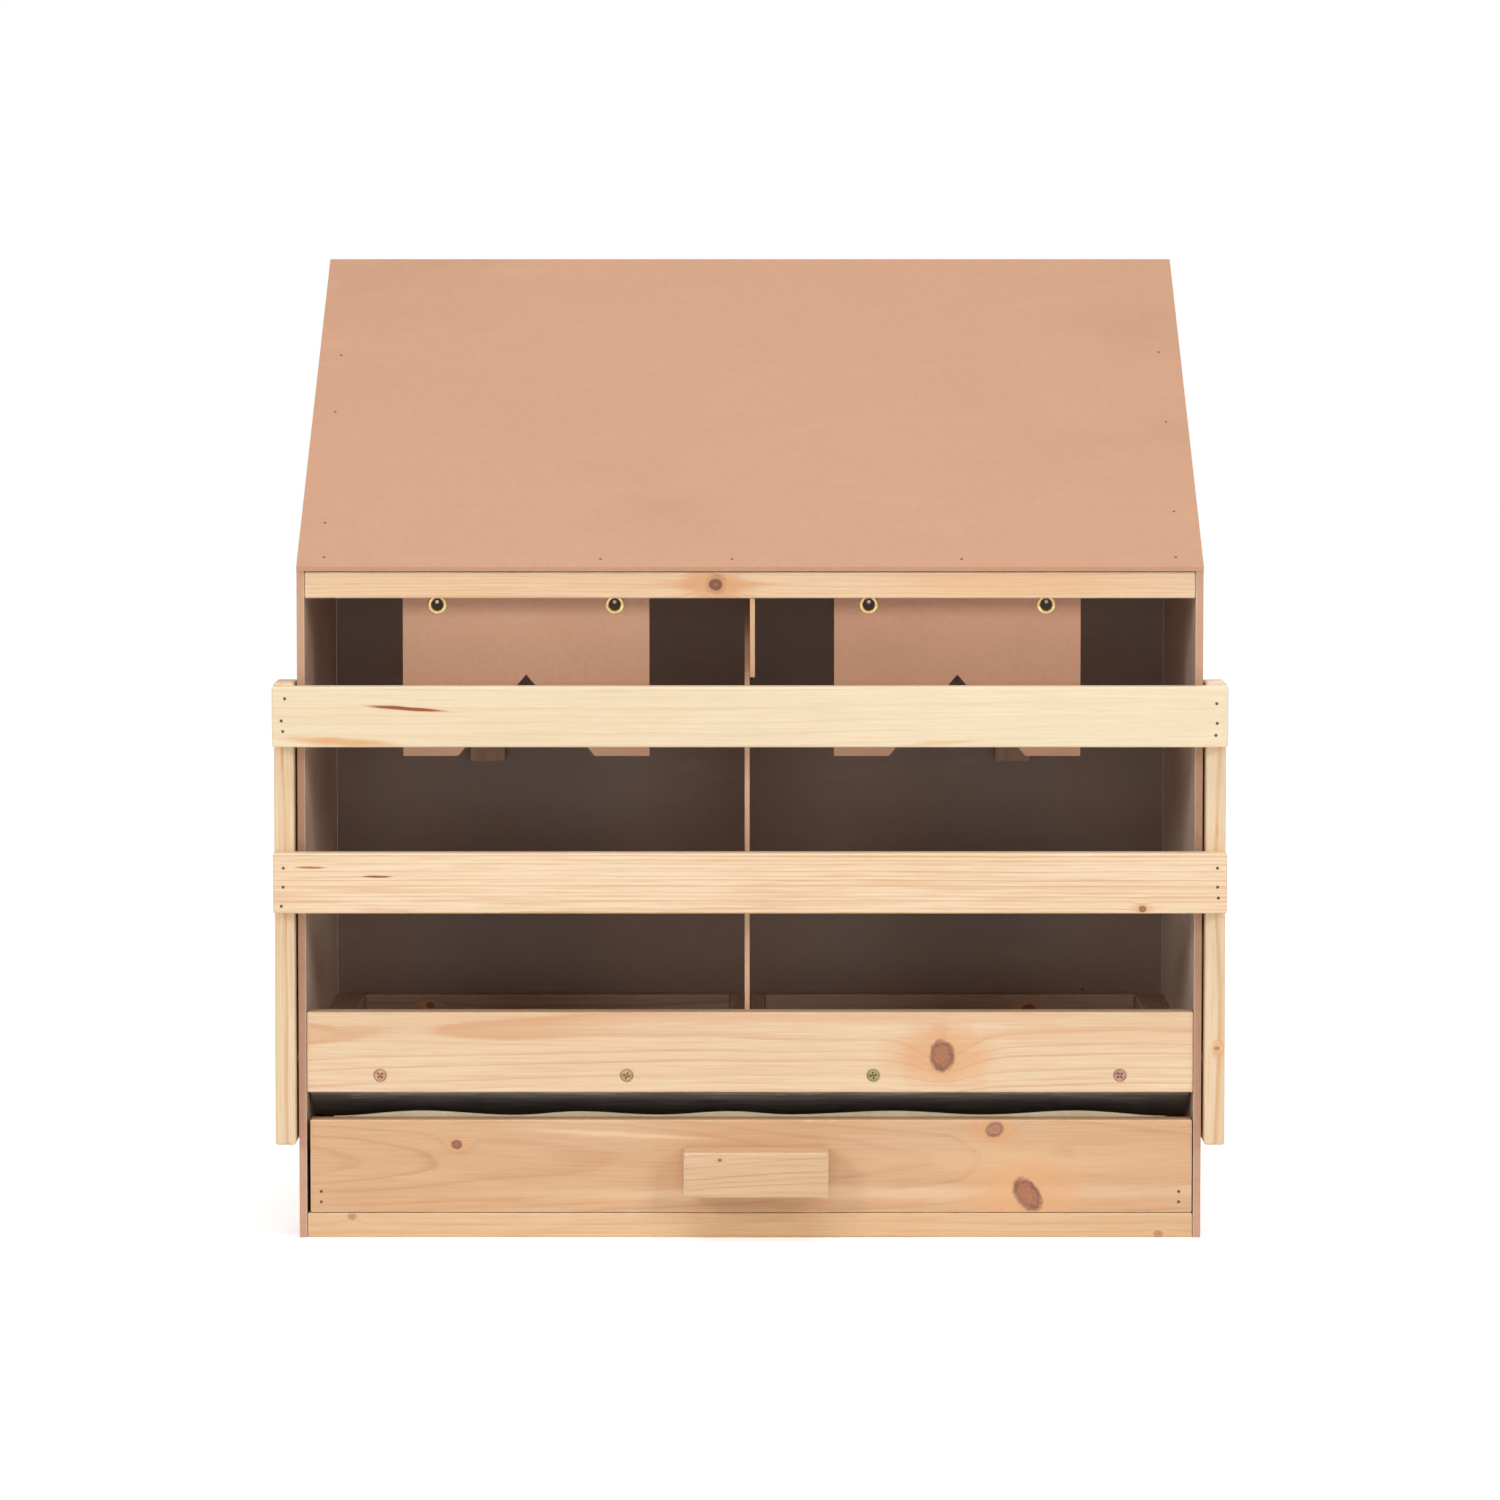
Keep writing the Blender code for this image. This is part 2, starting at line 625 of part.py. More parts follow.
# ---------------------------------------------------------------- folding perch
perch_axis = make_axis("perch_axis", (0, PIVOT_Y, PIVOT_Z))
uprights = {}
for side, sign in (("left", -1), ("right", 1)):
    inner_x = sign * (HALF_W + UPRIGHT_GAP)
    outer_x = sign * OVERALL_WIDTH / 2
    low = (min(inner_x, outer_x), PERCH_FRONT_Y, UPRIGHT_BOTTOM)
    high = (max(inner_x, outer_x), PERCH_FRONT_Y + UPRIGHT_W, UPRIGHT_TOP)
    uprights[side] = board(
        "perch_upright_" + side, low, high, PERCH_PINE, parent=perch_axis, ease=0.0015, segments=2
    )
rail_half = OVERALL_WIDTH / 2
perch_rails = {}
for name, bottom in zip(("upper", "lower"), PERCH_RAIL_BOTTOMS):
    low = (-rail_half, PERCH_FRONT_Y - GAP - PERCH_RAIL_T, bottom)
    high = (rail_half, PERCH_FRONT_Y - GAP, bottom + PERCH_RAIL_H)
    perch_rails[name] = board(
        "perch_rail_" + name, low, high, PERCH_PINE, parent=perch_axis, ease=0.0012, segments=2
    )

washer_profile = [(0.0050, 0.0004), (0.0050, -0.0004), (0.0026, -0.0004), (0.0026, 0.0004)]
washer_x = HALF_W + UPRIGHT_GAP / 2
washer = lathe(washer_profile, SCREW_STEPS)
for side, sign in (("left", -1), ("right", 1)):
    place_one("pivot_washer_" + side, washer, (sign * washer_x, PIVOT_Y, PIVOT_Z), (sign, 0, 0), STEEL)

for side, sign in (("left", -1), ("right", 1)):
    inner_x = sign * (HALF_W + GAP)
    outer_x = sign * (OVERALL_WIDTH / 2 - GAP)
    stop_y = PERCH_FRONT_Y + UPRIGHT_W + GAP
    stop_z = PIVOT_Z + UPRIGHT_W / 2 + GAP
    low = (min(inner_x, outer_x), stop_y, stop_z)
    high = (max(inner_x, outer_x), stop_y + STOP_LENGTH, stop_z + STOP_HEIGHT)
    board("perch_stop_" + side, low, high, PINE)

# ---------------------------------------------------------------- egg drawer
drawer_axis = make_axis("drawer_axis", (0, FRONT_Y, BASE_H))
front_low = (DRAWER_OFFSET_X - DRAWER_FRONT_W / 2, FRONT_Y, BASE_H + GAP)
front_high = (DRAWER_OFFSET_X + DRAWER_FRONT_W / 2, BEHIND_Y, DRAWER_FRONT_TOP)
drawer_front = board("drawer_front", front_low, front_high, PINE, drawer_axis, ease=0.0012, segments=2)

box_y0 = BEHIND_Y + GAP
box_y1 = BEHIND_Y + DRAWER_DEPTH
bottom_top = BASE_H + GAP + SHEET_T
side_bottom = bottom_top + GAP
side_inner_x = DRAWER_SIDE_X - DRAWER_SIDE_T
bottom_low = (-DRAWER_SIDE_X, box_y0, BASE_H + GAP)
board("drawer_bottom", bottom_low, (DRAWER_SIDE_X, box_y1, bottom_top), HARDBOARD, drawer_axis, ease=0)
drawer_sides = {}
for side, sign in (("left", -1), ("right", 1)):
    low = (min(sign * side_inner_x, sign * DRAWER_SIDE_X), box_y0, side_bottom)
    high = (max(sign * side_inner_x, sign * DRAWER_SIDE_X), box_y1, DRAWER_SIDE_TOP)
    drawer_sides[side] = board("drawer_side_" + side, low, high, PINE, drawer_axis)
back_low = (-side_inner_x + GAP, box_y1 - DRAWER_SIDE_T, side_bottom)
drawer_back = board("drawer_back", back_low, (side_inner_x - GAP, box_y1, DRAWER_SIDE_TOP), PINE, drawer_axis)

handle_low = (HANDLE_CENTRE_X - HANDLE_WIDTH / 2, -OVERALL_DEPTH / 2, HANDLE_BOTTOM)
handle_high = (HANDLE_CENTRE_X + HANDLE_WIDTH / 2, FRONT_Y - GAP, HANDLE_BOTTOM + HANDLE_HEIGHT)
drawer_handle = board("drawer_handle", handle_low, handle_high, PINE, drawer_axis, ease=0.0015, segments=2)

# The liner is a tray floor with a wavy-topped wall behind the drawer front.
liner_half = side_inner_x - GAP
liner_bottom = bottom_top + GAP
wave_steps = 6 * LINER_WAVES
wall_outline = [(-liner_half, liner_bottom), (liner_half, liner_bottom)]
for step in range(wave_steps + 1):
    x = liner_half * (1 - 2 * step / wave_steps)
    height = (1 - math.cos(2 * math.pi * LINER_WAVES * step / wave_steps)) / 2
    wall_outline.append((x, LINER_TROUGH_Z + (LINER_CREST_Z - LINER_TROUGH_Z) * height))
wall_y = box_y0 + LINER_WALL_T / 2
drawer_liner = plate("drawer_liner", wall_outline, LINER_WALL_T, (0, wall_y, 0), UPRIGHT_XZ, LINER, drawer_axis)
tray_low = (-liner_half + 0.0002, box_y0 + 0.001, liner_bottom + 0.0002)
tray_high = (liner_half - 0.0002, box_y1 - DRAWER_SIDE_T - GAP, liner_bottom + LINER_T)
tray = board("liner_floor_join", tray_low, tray_high, None, ease=0)
NEST_BOX.objects.unlink(tray)
CUTTERS.objects.link(tray)
hide_cutter(tray)
union = drawer_liner.modifiers.new("floor", "BOOLEAN")
union.operation = "UNION"
union.solver = "EXACT"
union.object = tray

# ---------------------------------------------------------------- screws
kerb_places = {}
for number, x in enumerate(KERB_SCREW_XS, start=1):
    kerb_places["kerb_screw_" + str(number)] = ((x, FRONT_Y, KERB_SCREW_Z), (0, 1, 0))
countersunk_screws(kerb_places, (kerb_board, mat_front, nest_clamp), 0.0041, 0.0017, KERB_SCREW_LENGTH)

pivot_places = {}
for side, sign in (("left", -1), ("right", 1)):
    pivot_places["pivot_screw_" + side] = ((sign * OVERALL_WIDTH / 2, PIVOT_Y, PIVOT_Z), (-sign, 0, 0))
pivot_targets = (uprights["left"], uprights["right"], sides["left"], sides["right"], kerb_board)
countersunk_screws(pivot_places, pivot_targets, 0.0042, 0.0021, PIVOT_SCREW_LENGTH)
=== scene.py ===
"""Looks of the two-compartment laying nest box: timber, fibreboard, fittings, mats, studio and camera."""

import math
import random

import bmesh
import bpy
from mathutils import Euler, Matrix, Vector, noise


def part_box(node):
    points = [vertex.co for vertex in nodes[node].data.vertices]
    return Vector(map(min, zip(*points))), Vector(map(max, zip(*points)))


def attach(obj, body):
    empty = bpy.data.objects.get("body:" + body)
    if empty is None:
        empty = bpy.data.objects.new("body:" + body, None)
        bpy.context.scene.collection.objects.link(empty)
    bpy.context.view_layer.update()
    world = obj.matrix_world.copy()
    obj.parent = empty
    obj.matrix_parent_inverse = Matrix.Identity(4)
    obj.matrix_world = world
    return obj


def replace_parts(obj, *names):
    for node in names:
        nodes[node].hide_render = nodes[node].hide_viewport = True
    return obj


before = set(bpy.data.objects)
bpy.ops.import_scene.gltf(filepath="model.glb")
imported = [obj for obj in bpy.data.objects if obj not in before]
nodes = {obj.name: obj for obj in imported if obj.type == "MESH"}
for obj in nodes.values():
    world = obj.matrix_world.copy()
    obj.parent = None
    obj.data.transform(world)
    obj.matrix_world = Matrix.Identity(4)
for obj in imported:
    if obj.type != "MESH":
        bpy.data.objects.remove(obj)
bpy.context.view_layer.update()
MM = 0.001


def srgb(red, green, blue):
    """Linear colour of a display colour given in 0 to 255."""
    out = []
    for level in (red, green, blue):
        share = level / 255
        out.append(share / 12.92 if share <= 0.04045 else ((share + 0.055) / 1.055) ** 2.4)
    return (*out, 1.0)


# ------------------------------------------------------------------ node building
class Tree:
    """Short ways to add nodes to a material or a group."""

    def __init__(self, tree):
        self.tree = tree

    def put(self, value, socket):
        if isinstance(value, bpy.types.NodeSocket):
            self.tree.links.new(value, socket)
        else:
            socket.default_value = value

    def node(self, kind, inputs=None, **settings):
        made = self.tree.nodes.new(kind)
        for key, value in settings.items():
            setattr(made, key, value)
        for key, value in (inputs or {}).items():
            self.put(value, made.inputs[key])
        return made

    def math(self, operation, first, second=0.0, third=0.0, clamp=False):
        made = self.node("ShaderNodeMath", operation=operation, use_clamp=clamp)
        for socket, value in zip(made.inputs, (first, second, third)):
            self.put(value, socket)
        return made.outputs[0]

    def vector_math(self, operation, first, second=(0.0, 0.0, 0.0)):
        made = self.node("ShaderNodeVectorMath", operation=operation)
        self.put(first, made.inputs[0])
        self.put(second, made.inputs[1])
        return made.outputs["Value" if operation == "LENGTH" else "Vector"]

    def split(self, vector):
        made = self.node("ShaderNodeSeparateXYZ", {"Vector": vector})
        return made.outputs[0], made.outputs[1], made.outputs[2]

    def join(self, x, y, z):
        return self.node("ShaderNodeCombineXYZ", {"X": x, "Y": y, "Z": z}).outputs[0]

    def mix(self, share, first, second, blend="MIX"):
        made = self.node("ShaderNodeMix", data_type="RGBA", blend_type=blend, clamp_factor=True)
        self.put(share, made.inputs[0])
        self.put(first, made.inputs[6])
        self.put(second, made.inputs[7])
        return made.outputs[2]

    def noise(self, vector, scale=1.0, detail=2.0, roughness=0.5, distortion=0.0):
        inputs = {"Vector": vector, "Scale": scale, "Detail": detail}
        inputs.update({"Roughness": roughness, "Distortion": distortion})
        return self.node("ShaderNodeTexNoise", inputs).outputs[0]

    def remap(self, value, from_low, from_high, to_low=0.0, to_high=1.0, smooth=False):
        kind = "SMOOTHSTEP" if smooth else "LINEAR"
        made = self.node("ShaderNodeMapRange", interpolation_type=kind, clamp=True)
        for socket, number in zip(made.inputs, (value, from_low, from_high, to_low, to_high)):
            self.put(number, socket)
        return made.outputs[0]

    def ramp(self, value, stops):
        made = self.node("ShaderNodeValToRGB", {"Fac": value})
        elements = made.color_ramp.elements
        while len(elements) < len(stops):
            elements.new(0.5)
        for element, (place, colour) in zip(elements, stops):
            element.position = place
            element.color = (*colour, 1)
        return made.outputs[0]

    def group(self, tree, **inputs):
        made = self.node("ShaderNodeGroup")
        made.node_tree = tree
        for key, value in inputs.items():
            self.put(value, made.inputs[key.replace("_", " ").title()])
        return made


def new_group(name, inputs, outputs):
    """Empty node group with its sockets, as (tree, its input sockets, its output node)."""
    tree = bpy.data.node_groups.new(name, "ShaderNodeTree")
    for label, kind, value in inputs:
        socket = tree.interface.new_socket(name=label, in_out="INPUT", socket_type="NodeSocket" + kind)
        if value is not None:
            socket.default_value = value
    for label, kind in outputs:
        tree.interface.new_socket(name=label, in_out="OUTPUT", socket_type="NodeSocket" + kind)
    work = Tree(tree)
    entry = work.node("NodeGroupInput")
    leave = work.node("NodeGroupOutput")
    return work, entry.outputs, leave.inputs


def pine_grain_group():
    """Solid timber. The vector runs along the grain in X, and Y and Z cross it, in metres."""
    t, i, o = new_group(
        "pine_grain",
        [
            ("Vector", "Vector", None),
            ("Early", "Color", (0.8, 0.6, 0.4, 1)),
            ("Late", "Color", (0.6, 0.35, 0.18, 1)),
            ("Ring Width", "Float", 0.0035),
            ("Pith Y", "Float", 0.05),
            ("Pith Z", "Float", 0.0),
            ("Lean Y", "Float", 0.0),
            ("Lean Z", "Float", 0.0),
            ("Wander", "Float", 0.008),
            ("Push", "Float", 0.0),
            ("Contrast", "Float", 0.6),
            ("Seed", "Float", 0.0),
        ],
        [("Color", "Color"), ("Height", "Float"), ("Roughness", "Float")],
    )
    x, y, z = t.split(i["Vector"])
    seed_offset = t.join(i["Seed"], t.math("MULTIPLY", i["Seed"], 1.7), t.math("MULTIPLY", i["Seed"], 0.6))

    def stretched(along, across):
        scaled = t.vector_math("MULTIPLY", i["Vector"], (along, across, across))
        return t.vector_math("ADD", scaled, seed_offset)

    slow = t.math("SUBTRACT", t.noise(stretched(2.6, 7.0), detail=2.5, roughness=0.45), 0.5)
    quick = t.math("SUBTRACT", t.noise(stretched(11.0, 55.0), detail=2.0), 0.5)
    y_off = t.math("SUBTRACT", t.math("SUBTRACT", y, i["Pith Y"]), t.math("MULTIPLY", x, i["Lean Y"]))
    z_off = t.math("SUBTRACT", t.math("SUBTRACT", z, i["Pith Z"]), t.math("MULTIPLY", x, i["Lean Z"]))
    radius = t.math("SQRT", t.math("ADD", t.math("MULTIPLY", y_off, y_off), t.math("MULTIPLY", z_off, z_off)))
    radius = t.math("ADD", radius, t.math("MULTIPLY", slow, i["Wander"]))
    radius = t.math("ADD", radius, t.math("MULTIPLY", quick, t.math("MULTIPLY", i["Wander"], 0.13)))
    radius = t.math("ADD", radius, i["Push"])
    year = t.math("DIVIDE", radius, i["Ring Width"])
    swell = t.math("MULTIPLY", t.math("SINE", t.math("MULTIPLY", year, 1.9)), 0.22)
    year = t.math("ADD", year, swell)
    part = t.math("FRACT", year)
    year_darkness = ((0.0, 0.06), (0.30, 0.0), (0.70, 0.14), (0.88, 0.95), (0.93, 0.95), (1.0, 0.06))
    band = t.ramp(part, [(place, (grey,) * 3) for place, grey in year_darkness])
    yearly = t.node("ShaderNodeTexWhiteNoise", {"W": t.math("FLOOR", year)}, noise_dimensions="1D").outputs[0]
    strength = t.math("MULTIPLY", t.math("ADD", t.math("MULTIPLY", yearly, 0.9), 0.35), i["Contrast"])
    fade = t.remap(t.noise(stretched(3.0, 22.0), detail=1.0), 0.3, 0.7, 0.45, 1.0)
    line = t.math("MULTIPLY", t.math("MULTIPLY", band, strength), fade, clamp=True)
    colour = t.mix(line, i["Early"], i["Late"])
    warm = t.remap(t.noise(stretched(3.2, 16.0), detail=2.0), 0.35, 0.72)
    colour = t.mix(t.math("MULTIPLY", warm, 0.20), colour, i["Late"])
    pale = t.remap(t.noise(stretched(5.0, 45.0), scale=1.3, detail=2.0), 0.5, 0.8)
    colour = t.mix(t.math("MULTIPLY", pale, 0.12), colour, (1.0, 0.90, 0.72, 1), "SCREEN")
    fibre = t.noise(stretched(26.0, 1150.0), detail=3.0, roughness=0.6)
    colour = t.mix(t.remap(fibre, 0.35, 0.75, 0.0, 0.22), colour, i["Late"], "MULTIPLY")
    hair = t.remap(t.noise(stretched(14.0, 620.0), scale=1.1, detail=3.0, roughness=0.55), 0.48, 0.66)
    colour = t.mix(t.math("MULTIPLY", hair, t.math("MULTIPLY", i["Contrast"], 0.34)), colour, i["Late"])
    fleck = t.remap(t.noise(stretched(75.0, 2100.0), detail=1.0), 0.70, 0.80)
    colour = t.mix(t.math("MULTIPLY", fleck, 0.28), colour, i["Late"])
    t.put(colour, o["Color"])
    t.put(t.math("ADD", t.math("MULTIPLY", line, 0.35), t.math("MULTIPLY", fibre, 0.65)), o["Height"])
    t.put(t.remap(fibre, 0.2, 0.8, 0.50, 0.66), o["Roughness"])
    return t.tree


def knot_field_group():
    """Branch through a board. Gives how far it pushes the rings aside, and its masks."""
    t, i, o = new_group(
        "knot_field",
        [
            ("Vector", "Vector", None),
            ("Centre", "Vector", (0, 0, 0)),
            ("Radius", "Float", 0.005),
            ("Stretch", "Float", 1.2),
            ("Tilt", "Float", 0.0),
            ("Strength", "Float", 0.006),
        ],
        [(label, "Float") for label in ("Push", "Mask", "Rim", "Halo", "Rings", "Core")],
    )
    away = t.vector_math("SUBTRACT", i["Vector"], i["Centre"])
    turned = t.node("ShaderNodeVectorRotate", {"Vector": away, "Angle": i["Tilt"]}, rotation_type="Y_AXIS")
    x, _, z = t.split(turned.outputs[0])
    flat = t.join(t.math("DIVIDE", x, i["Stretch"]), 0.0, z)
    distance = t.vector_math("LENGTH", flat)
    ragged = t.math("SUBTRACT", t.noise(flat, scale=260.0, detail=3.0), 0.5)
    distance = t.math("ADD", distance, t.math("MULTIPLY", ragged, t.math("MULTIPLY", i["Radius"], 0.5)))
    ratio = t.math("DIVIDE", distance, i["Radius"])
    t.put(t.remap(ratio, 0.78, 1.14, 1.0, 0.0, smooth=True), o["Mask"])
    broken = t.remap(t.noise(flat, scale=160.0, detail=3.0), 0.36, 0.64, 0.35, 1.0)
    rim = t.math("ABSOLUTE", t.math("SUBTRACT", ratio, 0.82))
    t.put(t.math("MULTIPLY", t.remap(rim, 0.0, 0.34, 1.0, 0.0, smooth=True), broken), o["Rim"])
    side, _, high = t.split(away)
    long = t.vector_math("LENGTH", t.join(t.math("MULTIPLY", side, 0.55), 0.0, high))
    cloud = t.math("MULTIPLY", t.math("SUBTRACT", t.noise(away, scale=70.0, detail=3.0), 0.5), 1.6)
    spread = t.math("ADD", t.math("DIVIDE", long, i["Radius"]), cloud)
    t.put(t.remap(spread, 0.7, 2.6, 1.0, 0.0, smooth=True), o["Halo"])
    wobble = t.math("MULTIPLY", t.noise(flat, scale=300.0, detail=2.0), 0.5)
    wobble = t.math("ADD", wobble, t.math("MULTIPLY", t.noise(flat, scale=110.0, detail=1.0), 0.55))
    ring = t.math("SINE", t.math("MULTIPLY", t.math("ADD", ratio, wobble), 21.0))
    t.put(t.remap(ring, -0.6, 1.0, 0.0, 1.0), o["Rings"])
    t.put(t.remap(ratio, 0.06, 0.55, 1.0, 0.0, smooth=True), o["Core"])
    reach = t.math("POWER", t.math("DIVIDE", ratio, 2.3), 1.6)
    swell = t.math("EXPONENT", t.math("MULTIPLY", reach, -1.0))
    t.put(t.math("MULTIPLY", swell, i["Strength"]), o["Push"])
    return t.tree


def knot_paint_group():
    """Colours a knot over the timber round it."""
    t, i, o = new_group(
        "knot_paint",
        [
            ("Color", "Color", None),
            ("Mask", "Float", 0.0),
            ("Rim", "Float", 0.0),
            ("Halo", "Float", 0.0),
            ("Rings", "Float", 0.0),
            ("Core", "Float", 0.0),
            ("Heart", "Color", (0.5, 0.25, 0.15, 1)),
            ("Glow", "Color", (0.75, 0.42, 0.2, 1)),
            ("Darkness", "Float", 0.6),
        ],
        [("Color", "Color")],
    )
    colour = t.mix(t.math("MULTIPLY", i["Halo"], 0.70), i["Color"], i["Glow"])
    heart = t.mix(t.math("MULTIPLY", i["Rings"], 0.55), i["Heart"], (0.26, 0.115, 0.075, 1))
    heart = t.mix(t.math("MULTIPLY", i["Core"], 0.5), heart, (0.48, 0.17, 0.075, 1))
    colour = t.mix(i["Mask"], colour, heart)
    edge = t.math("MULTIPLY", i["Rim"], i["Darkness"])
    t.put(t.mix(edge, colour, (0.20, 0.085, 0.06, 1)), o["Color"])
    return t.tree


def patch_group():
    """Soft long patch with ragged ends, for resin streaks and stains, and for painted shade round screw
    heads.
    """
    t, i, o = new_group(
        "patch",
        [
            ("Vector", "Vector", None),
            ("Centre", "Vector", (0, 0, 0)),
            ("Length", "Float", 0.03),
            ("Width", "Float", 0.002),
            ("Tilt", "Float", 0.0),
        ],
        [("Mask", "Float")],
    )
    away = t.vector_math("SUBTRACT", i["Vector"], i["Centre"])
    x, _, z = t.split(away)
    wave = t.math("SUBTRACT", t.noise(t.vector_math("MULTIPLY", away, (35.0, 120.0, 120.0)), detail=3.0), 0.5)
    z = t.math("SUBTRACT", z, t.math("MULTIPLY", x, i["Tilt"]))
    z = t.math("ADD", z, t.math("MULTIPLY", wave, i["Width"]))
    across = t.math("DIVIDE", z, i["Width"])
    along = t.math("DIVIDE", x, i["Length"])
    size = t.math("SQRT", t.math("ADD", t.math("MULTIPLY", along, along), t.math("MULTIPLY", across, across)))
    t.put(t.remap(size, 0.25, 1.0, 1.0, 0.0, smooth=True), o["Mask"])
    return t.tree


def board_edge_group():
    """Mask of a board's long and end edges, from its half size, with ragged noise, for a painted highlight
    along them.
    """
    t, i, o = new_group(
        "board_edge",
        [("Vector", "Vector", None), ("Half", "Vector", (0.1, 0.01, 0.01)), ("Width", "Float", 0.0012)],
        [("Mask", "Float")],
    )
    inside = t.vector_math("SUBTRACT", i["Half"], t.vector_math("ABSOLUTE", i["Vector"]))
    x, y, z = t.split(inside)
    least = t.math("MINIMUM", t.math("MINIMUM", x, y), z)
    most = t.math("MAXIMUM", t.math("MAXIMUM", x, y), z)
    total = t.math("ADD", t.math("ADD", x, y), z)
    middle = t.math("SUBTRACT", t.math("SUBTRACT", total, least), most)
    rough = t.noise(i["Vector"], scale=180.0, detail=3.0)
    ragged = t.math("MULTIPLY", rough, t.math("MULTIPLY", i["Width"], 1.6))
    far = t.math("MULTIPLY", i["Width"], 1.9)
    t.put(t.remap(t.math("ADD", middle, ragged), i["Width"], far, 1.0, 0.0), o["Mask"])
    return t.tree


def dust_group():
    """Fine dust and handling marks, as a mask."""
    t, i, o = new_group("dust", [("Vector", "Vector", None), ("Scale", "Float", 40.0)], [("Mask", "Float")])
    cloud = t.noise(i["Vector"], scale=i["Scale"], detail=5.0, roughness=0.6)
    speck = t.noise(i["Vector"], scale=t.math("MULTIPLY", i["Scale"], 30.0), detail=1.0)
    soft = t.remap(cloud, 0.45, 0.75)
    t.put(t.math("MULTIPLY", soft, t.remap(speck, 0.3, 0.8, 0.4, 1.0), clamp=True), o["Mask"])
    return t.tree


PINE = pine_grain_group()
KNOT_FIELD = knot_field_group()
KNOT_PAINT = knot_paint_group()
PATCH = patch_group()
BOARD_EDGE_HIGHLIGHT = board_edge_group()
DUST = dust_group()

# Turns that bring a board's grain to X: across the box, upright, and front to back.
GRAIN_TURNS = {
    "across": Euler((0, 0, 0)),
    "upright": Euler((0, math.pi / 2, 0)),
    "deep": Euler((0, 0, -math.pi / 2)),
}


def new_material(name):
    material = bpy.data.materials.new(name)
    material.use_nodes = True
    work = Tree(material.node_tree)
    return material, work, material.node_tree.nodes["Principled BSDF"]


def board_vector(t, centre, grain):
    """Object coordinates turned so that X runs along the grain, from the board's centre."""
    turn = GRAIN_TURNS[grain]
    shift = -(turn.to_matrix() @ Vector(centre))
    where = t.node("ShaderNodeTexCoord").outputs["Object"]
    mapping = t.node("ShaderNodeMapping", {"Vector": where, "Location": shift, "Rotation": tuple(turn)})
    return mapping.outputs[0]


def add_bump(t, shader, height, distance, strength=1.0):
    bump = t.node("ShaderNodeBump", {"Height": height, "Distance": distance, "Strength": strength})
    t.put(bump.outputs[0], shader.inputs["Normal"])


def timber(name, node, grain, early, late, seed, knots=(), patches=(), **rings):
    """Pine for one board. Knots and patches lie along and across it, from its centre, in mm."""
    material, t, shader = new_material(name)
    low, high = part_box(node)
    vector = board_vector(t, (low + high) / 2, grain)
    half = GRAIN_TURNS[grain].to_matrix() @ ((high - low) / 2)
    half = tuple(abs(size) for size in half)
    fields = []
    push = None
    for knot in knots:
        place = (knot["at"][0] * MM, 0, knot["at"][1] * MM)
        radius = knot["radius"] * MM
        field = t.group(
            KNOT_FIELD,
            vector=vector,
            centre=place,
            radius=radius,
            stretch=knot.get("stretch", 1.15),
            tilt=knot.get("tilt", 0.0),
            strength=knot.get("push", 1.1) * radius,
        )
        fields.append((knot, field))
        push = field.outputs["Push"] if push is None else t.math("ADD", push, field.outputs["Push"])
    wood = t.group(PINE, vector=vector, early=srgb(*early), late=srgb(*late), seed=seed, **rings)
    if push is not None:
        t.put(push, wood.inputs["Push"])
    colour = wood.outputs["Color"]
    for patch in patches:
        mask = t.group(
            PATCH,
            vector=vector,
            centre=(patch["at"][0] * MM, 0, patch["at"][1] * MM),
            length=patch["size"][0] * MM,
            width=patch["size"][1] * MM,
            tilt=patch.get("tilt", 0.0),
        ).outputs["Mask"]
        colour = t.mix(t.math("MULTIPLY", mask, patch.get("strength", 0.5)), colour, srgb(*patch["colour"]))
    for knot, field in fields:
        colour = t.group(
            KNOT_PAINT,
            color=colour,
            mask=field.outputs["Mask"],
            rim=field.outputs["Rim"],
            halo=field.outputs["Halo"],
            rings=field.outputs["Rings"],
            core=field.outputs["Core"],
            heart=srgb(*knot.get("heart", (176, 116, 88))),
            glow=srgb(*knot.get("glow", (222, 166, 116))),
            darkness=knot.get("darkness", 0.5),
        ).outputs["Color"]
    # Pale band along every board edge: a painted highlight on the rounded arrises.
    edge = t.group(BOARD_EDGE_HIGHLIGHT, vector=vector, half=half, width=0.0009).outputs["Mask"]
    colour = t.mix(t.math("MULTIPLY", edge, 0.40), colour, srgb(250, 232, 204))
    dust = t.group(DUST, vector=vector, scale=30.0).outputs["Mask"]
    colour = t.mix(t.math("MULTIPLY", dust, 0.05), colour, srgb(150, 120, 90))
    t.put(colour, shader.inputs["Base Color"])
    t.put(wood.outputs["Roughness"], shader.inputs["Roughness"])
    add_bump(t, shader, wood.outputs["Height"], 0.00025, 0.6)
    shader.inputs["Specular IOR Level"].default_value = 0.35
    return material


